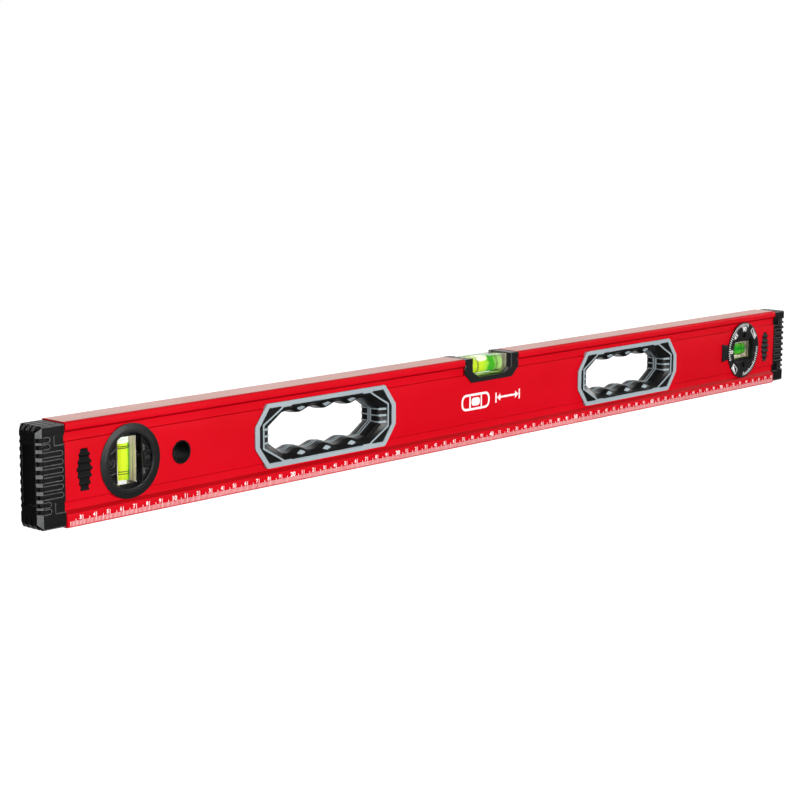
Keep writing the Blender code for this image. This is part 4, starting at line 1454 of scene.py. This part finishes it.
def make_seat(face):
    root = pointer_outline(face, POINTER_OUTER, POINTER_ROOT, 0.0)
    tab = pointer_outline(face, POINTER_OUTER, POINTER_INNER, 0.0)
    shapes = [
        prism([circle(SEAT_R), circle(SEAT_BORE)], SEAT_BACK, WEB - 0.12),
        prism([root], WEB - 1.8, WEB - 0.2),
        soften(prism([tab], WEB - 0.8, FACE - 0.2), 0.25),
    ]
    place = face_frame(face, DIAL_AT.x, DIAL_AT.z)
    name = f"angle_seat_{face}"
    piece(name, merge(shapes), place, "plastic", LEVEL, [f"rotary_seat_{face}"])


def screw_circles(radius):
    return [circle(radius, 32, (0.0, z)) for z in (-DIAL_SCREW_Z, DIAL_SCREW_Z)]


def make_dial(face):
    place = face_frame(face, DIAL_AT.x, DIAL_AT.z)
    holes, sinks = screw_circles(SCREW_HOLE_R), screw_circles(SCREW_SINK_R)
    body, basin = circle(DIAL_BODY_R), flattened_circle(*BASIN)
    pocket = rectangle(DIAL_BLOCK.x + GAP, DIAL_BLOCK.z + GAP)
    sight = rounded(rectangle(*SIGHT), 1.0, 4)
    disc = prism([circle(DIAL_R, 128), flattened_circle(*DISH), *sinks], WEB + 0.12, DIAL_TOP)
    bead = prism([circle(15.9, 96), circle(15.3, 96)], DIAL_TOP - 0.1, DIAL_TOP + 0.15)
    shapes = [
        soften(disc, 0.25, 2),
        prism([body, pocket, *holes], 0.13, SIGHT_BACK),
        prism([body, sight, *holes], SIGHT_BACK, SIGHT_FRONT),
        prism([body, basin, *sinks], SCREW_SEAT, WEB + 0.3),
        prism([body, basin, *holes], SIGHT_FRONT, SCREW_SEAT),
        soften(bead, 0.08, 1),
    ]
    name = f"angle_dial_{face}"
    piece(name, merge(shapes), place, "plastic", DIAL, [f"rotary_dial_{face}"])
    piece(f"angle_scale_{face}", merge(dial_print()), place, "print", DIAL)


def slope_picture(half_out, half_across):
    """A framed wedge that stands for a slope."""
    low, high = DIAL_TOP - PRINT_LIFT, DIAL_TOP + PRINT_LIFT
    edges = [rectangle(half_out, half_across), rectangle(half_out - 0.5, half_across - 0.5)]
    foot, right = 1.0 - half_across, half_out - 1.0
    wedge = [(1.0 - half_out, foot), (right, foot), (right, half_across - 1.2)]
    return [prism(edges, low, high), prism([wedge], low, high)]


def dial_print():
    """Angle scale on the left and above, slope marks on the right, two plain pictures; all generic."""
    shapes = []
    for scale in SCALES:
        shapes += scale_marks(*scale)
    for text, x, y in DIAL_NUMBERS:
        turn = math.atan2(y, x) - math.pi / 2
        shapes.append(number(text, x, y - DIAL_NUMBER_HIGH / 2, DIAL_NUMBER_HIGH, DIAL_TOP, 1.0, turn))
    for angle, half_out, half_across in SLOPE_PICTURES:
        spin = Matrix.Rotation(math.radians(angle), 4, "Z") @ shift(SLOPE_PICTURE_R)
        shapes += [moved(shape, spin) for shape in slope_picture(half_out, half_across)]
    return shapes


def scale_marks(first, count, long_inner, short_inner, outer, half):
    marks = []
    for step in range(count):
        inner = short_inner if step % 5 else long_inner
        turn = Matrix.Rotation(math.radians(first + 5.0 * step), 4, "Z")
        marks.append(moved(bar(inner, outer, -half, half, DIAL_TOP), turn))
    return marks


# Hang hole


BUSH_PROFILE = [
    (6.15, 0.13),
    (6.55, 0.13),
    (6.55, WEB + GAP),
    (HANG_R - 0.1, WEB + GAP),
    (HANG_R, WEB + GAP + 0.15),
    (HANG_R - 0.1, WEB + 0.5),
    (HANG_R - 0.35, WEB + 0.6),
    (6.5, WEB + 0.5),
    (6.2, WEB + 0.2),
    (6.15, WEB - 0.2),
]


def make_bush(face):
    lining = lathe(BUSH_PROFILE, 72)
    place = face_frame(face, HANG_AT.x, HANG_AT.z)
    piece(f"hang_lining_{face}", lining, place, "matte", LEVEL, [f"hang_bush_{face}"])


MATERIALS = make_materials()
make_camera()
make_floor()
make_studio()

make_profile()
make_rule()
make_emblem()
for cap_side in ("left", "right"):
    make_cap(cap_side)
    make_key(cap_side)
    for grip_face in ("front", "rear"):
        make_grip_half(cap_side, grip_face)
for unit_face in ("front", "rear"):
    make_plumb_half(unit_face)
    make_seat(unit_face)
    make_dial(unit_face)
    make_bush(unit_face)
make_main_housing()
for vial in VIALS:
    make_vial(*vial)
make_screws()
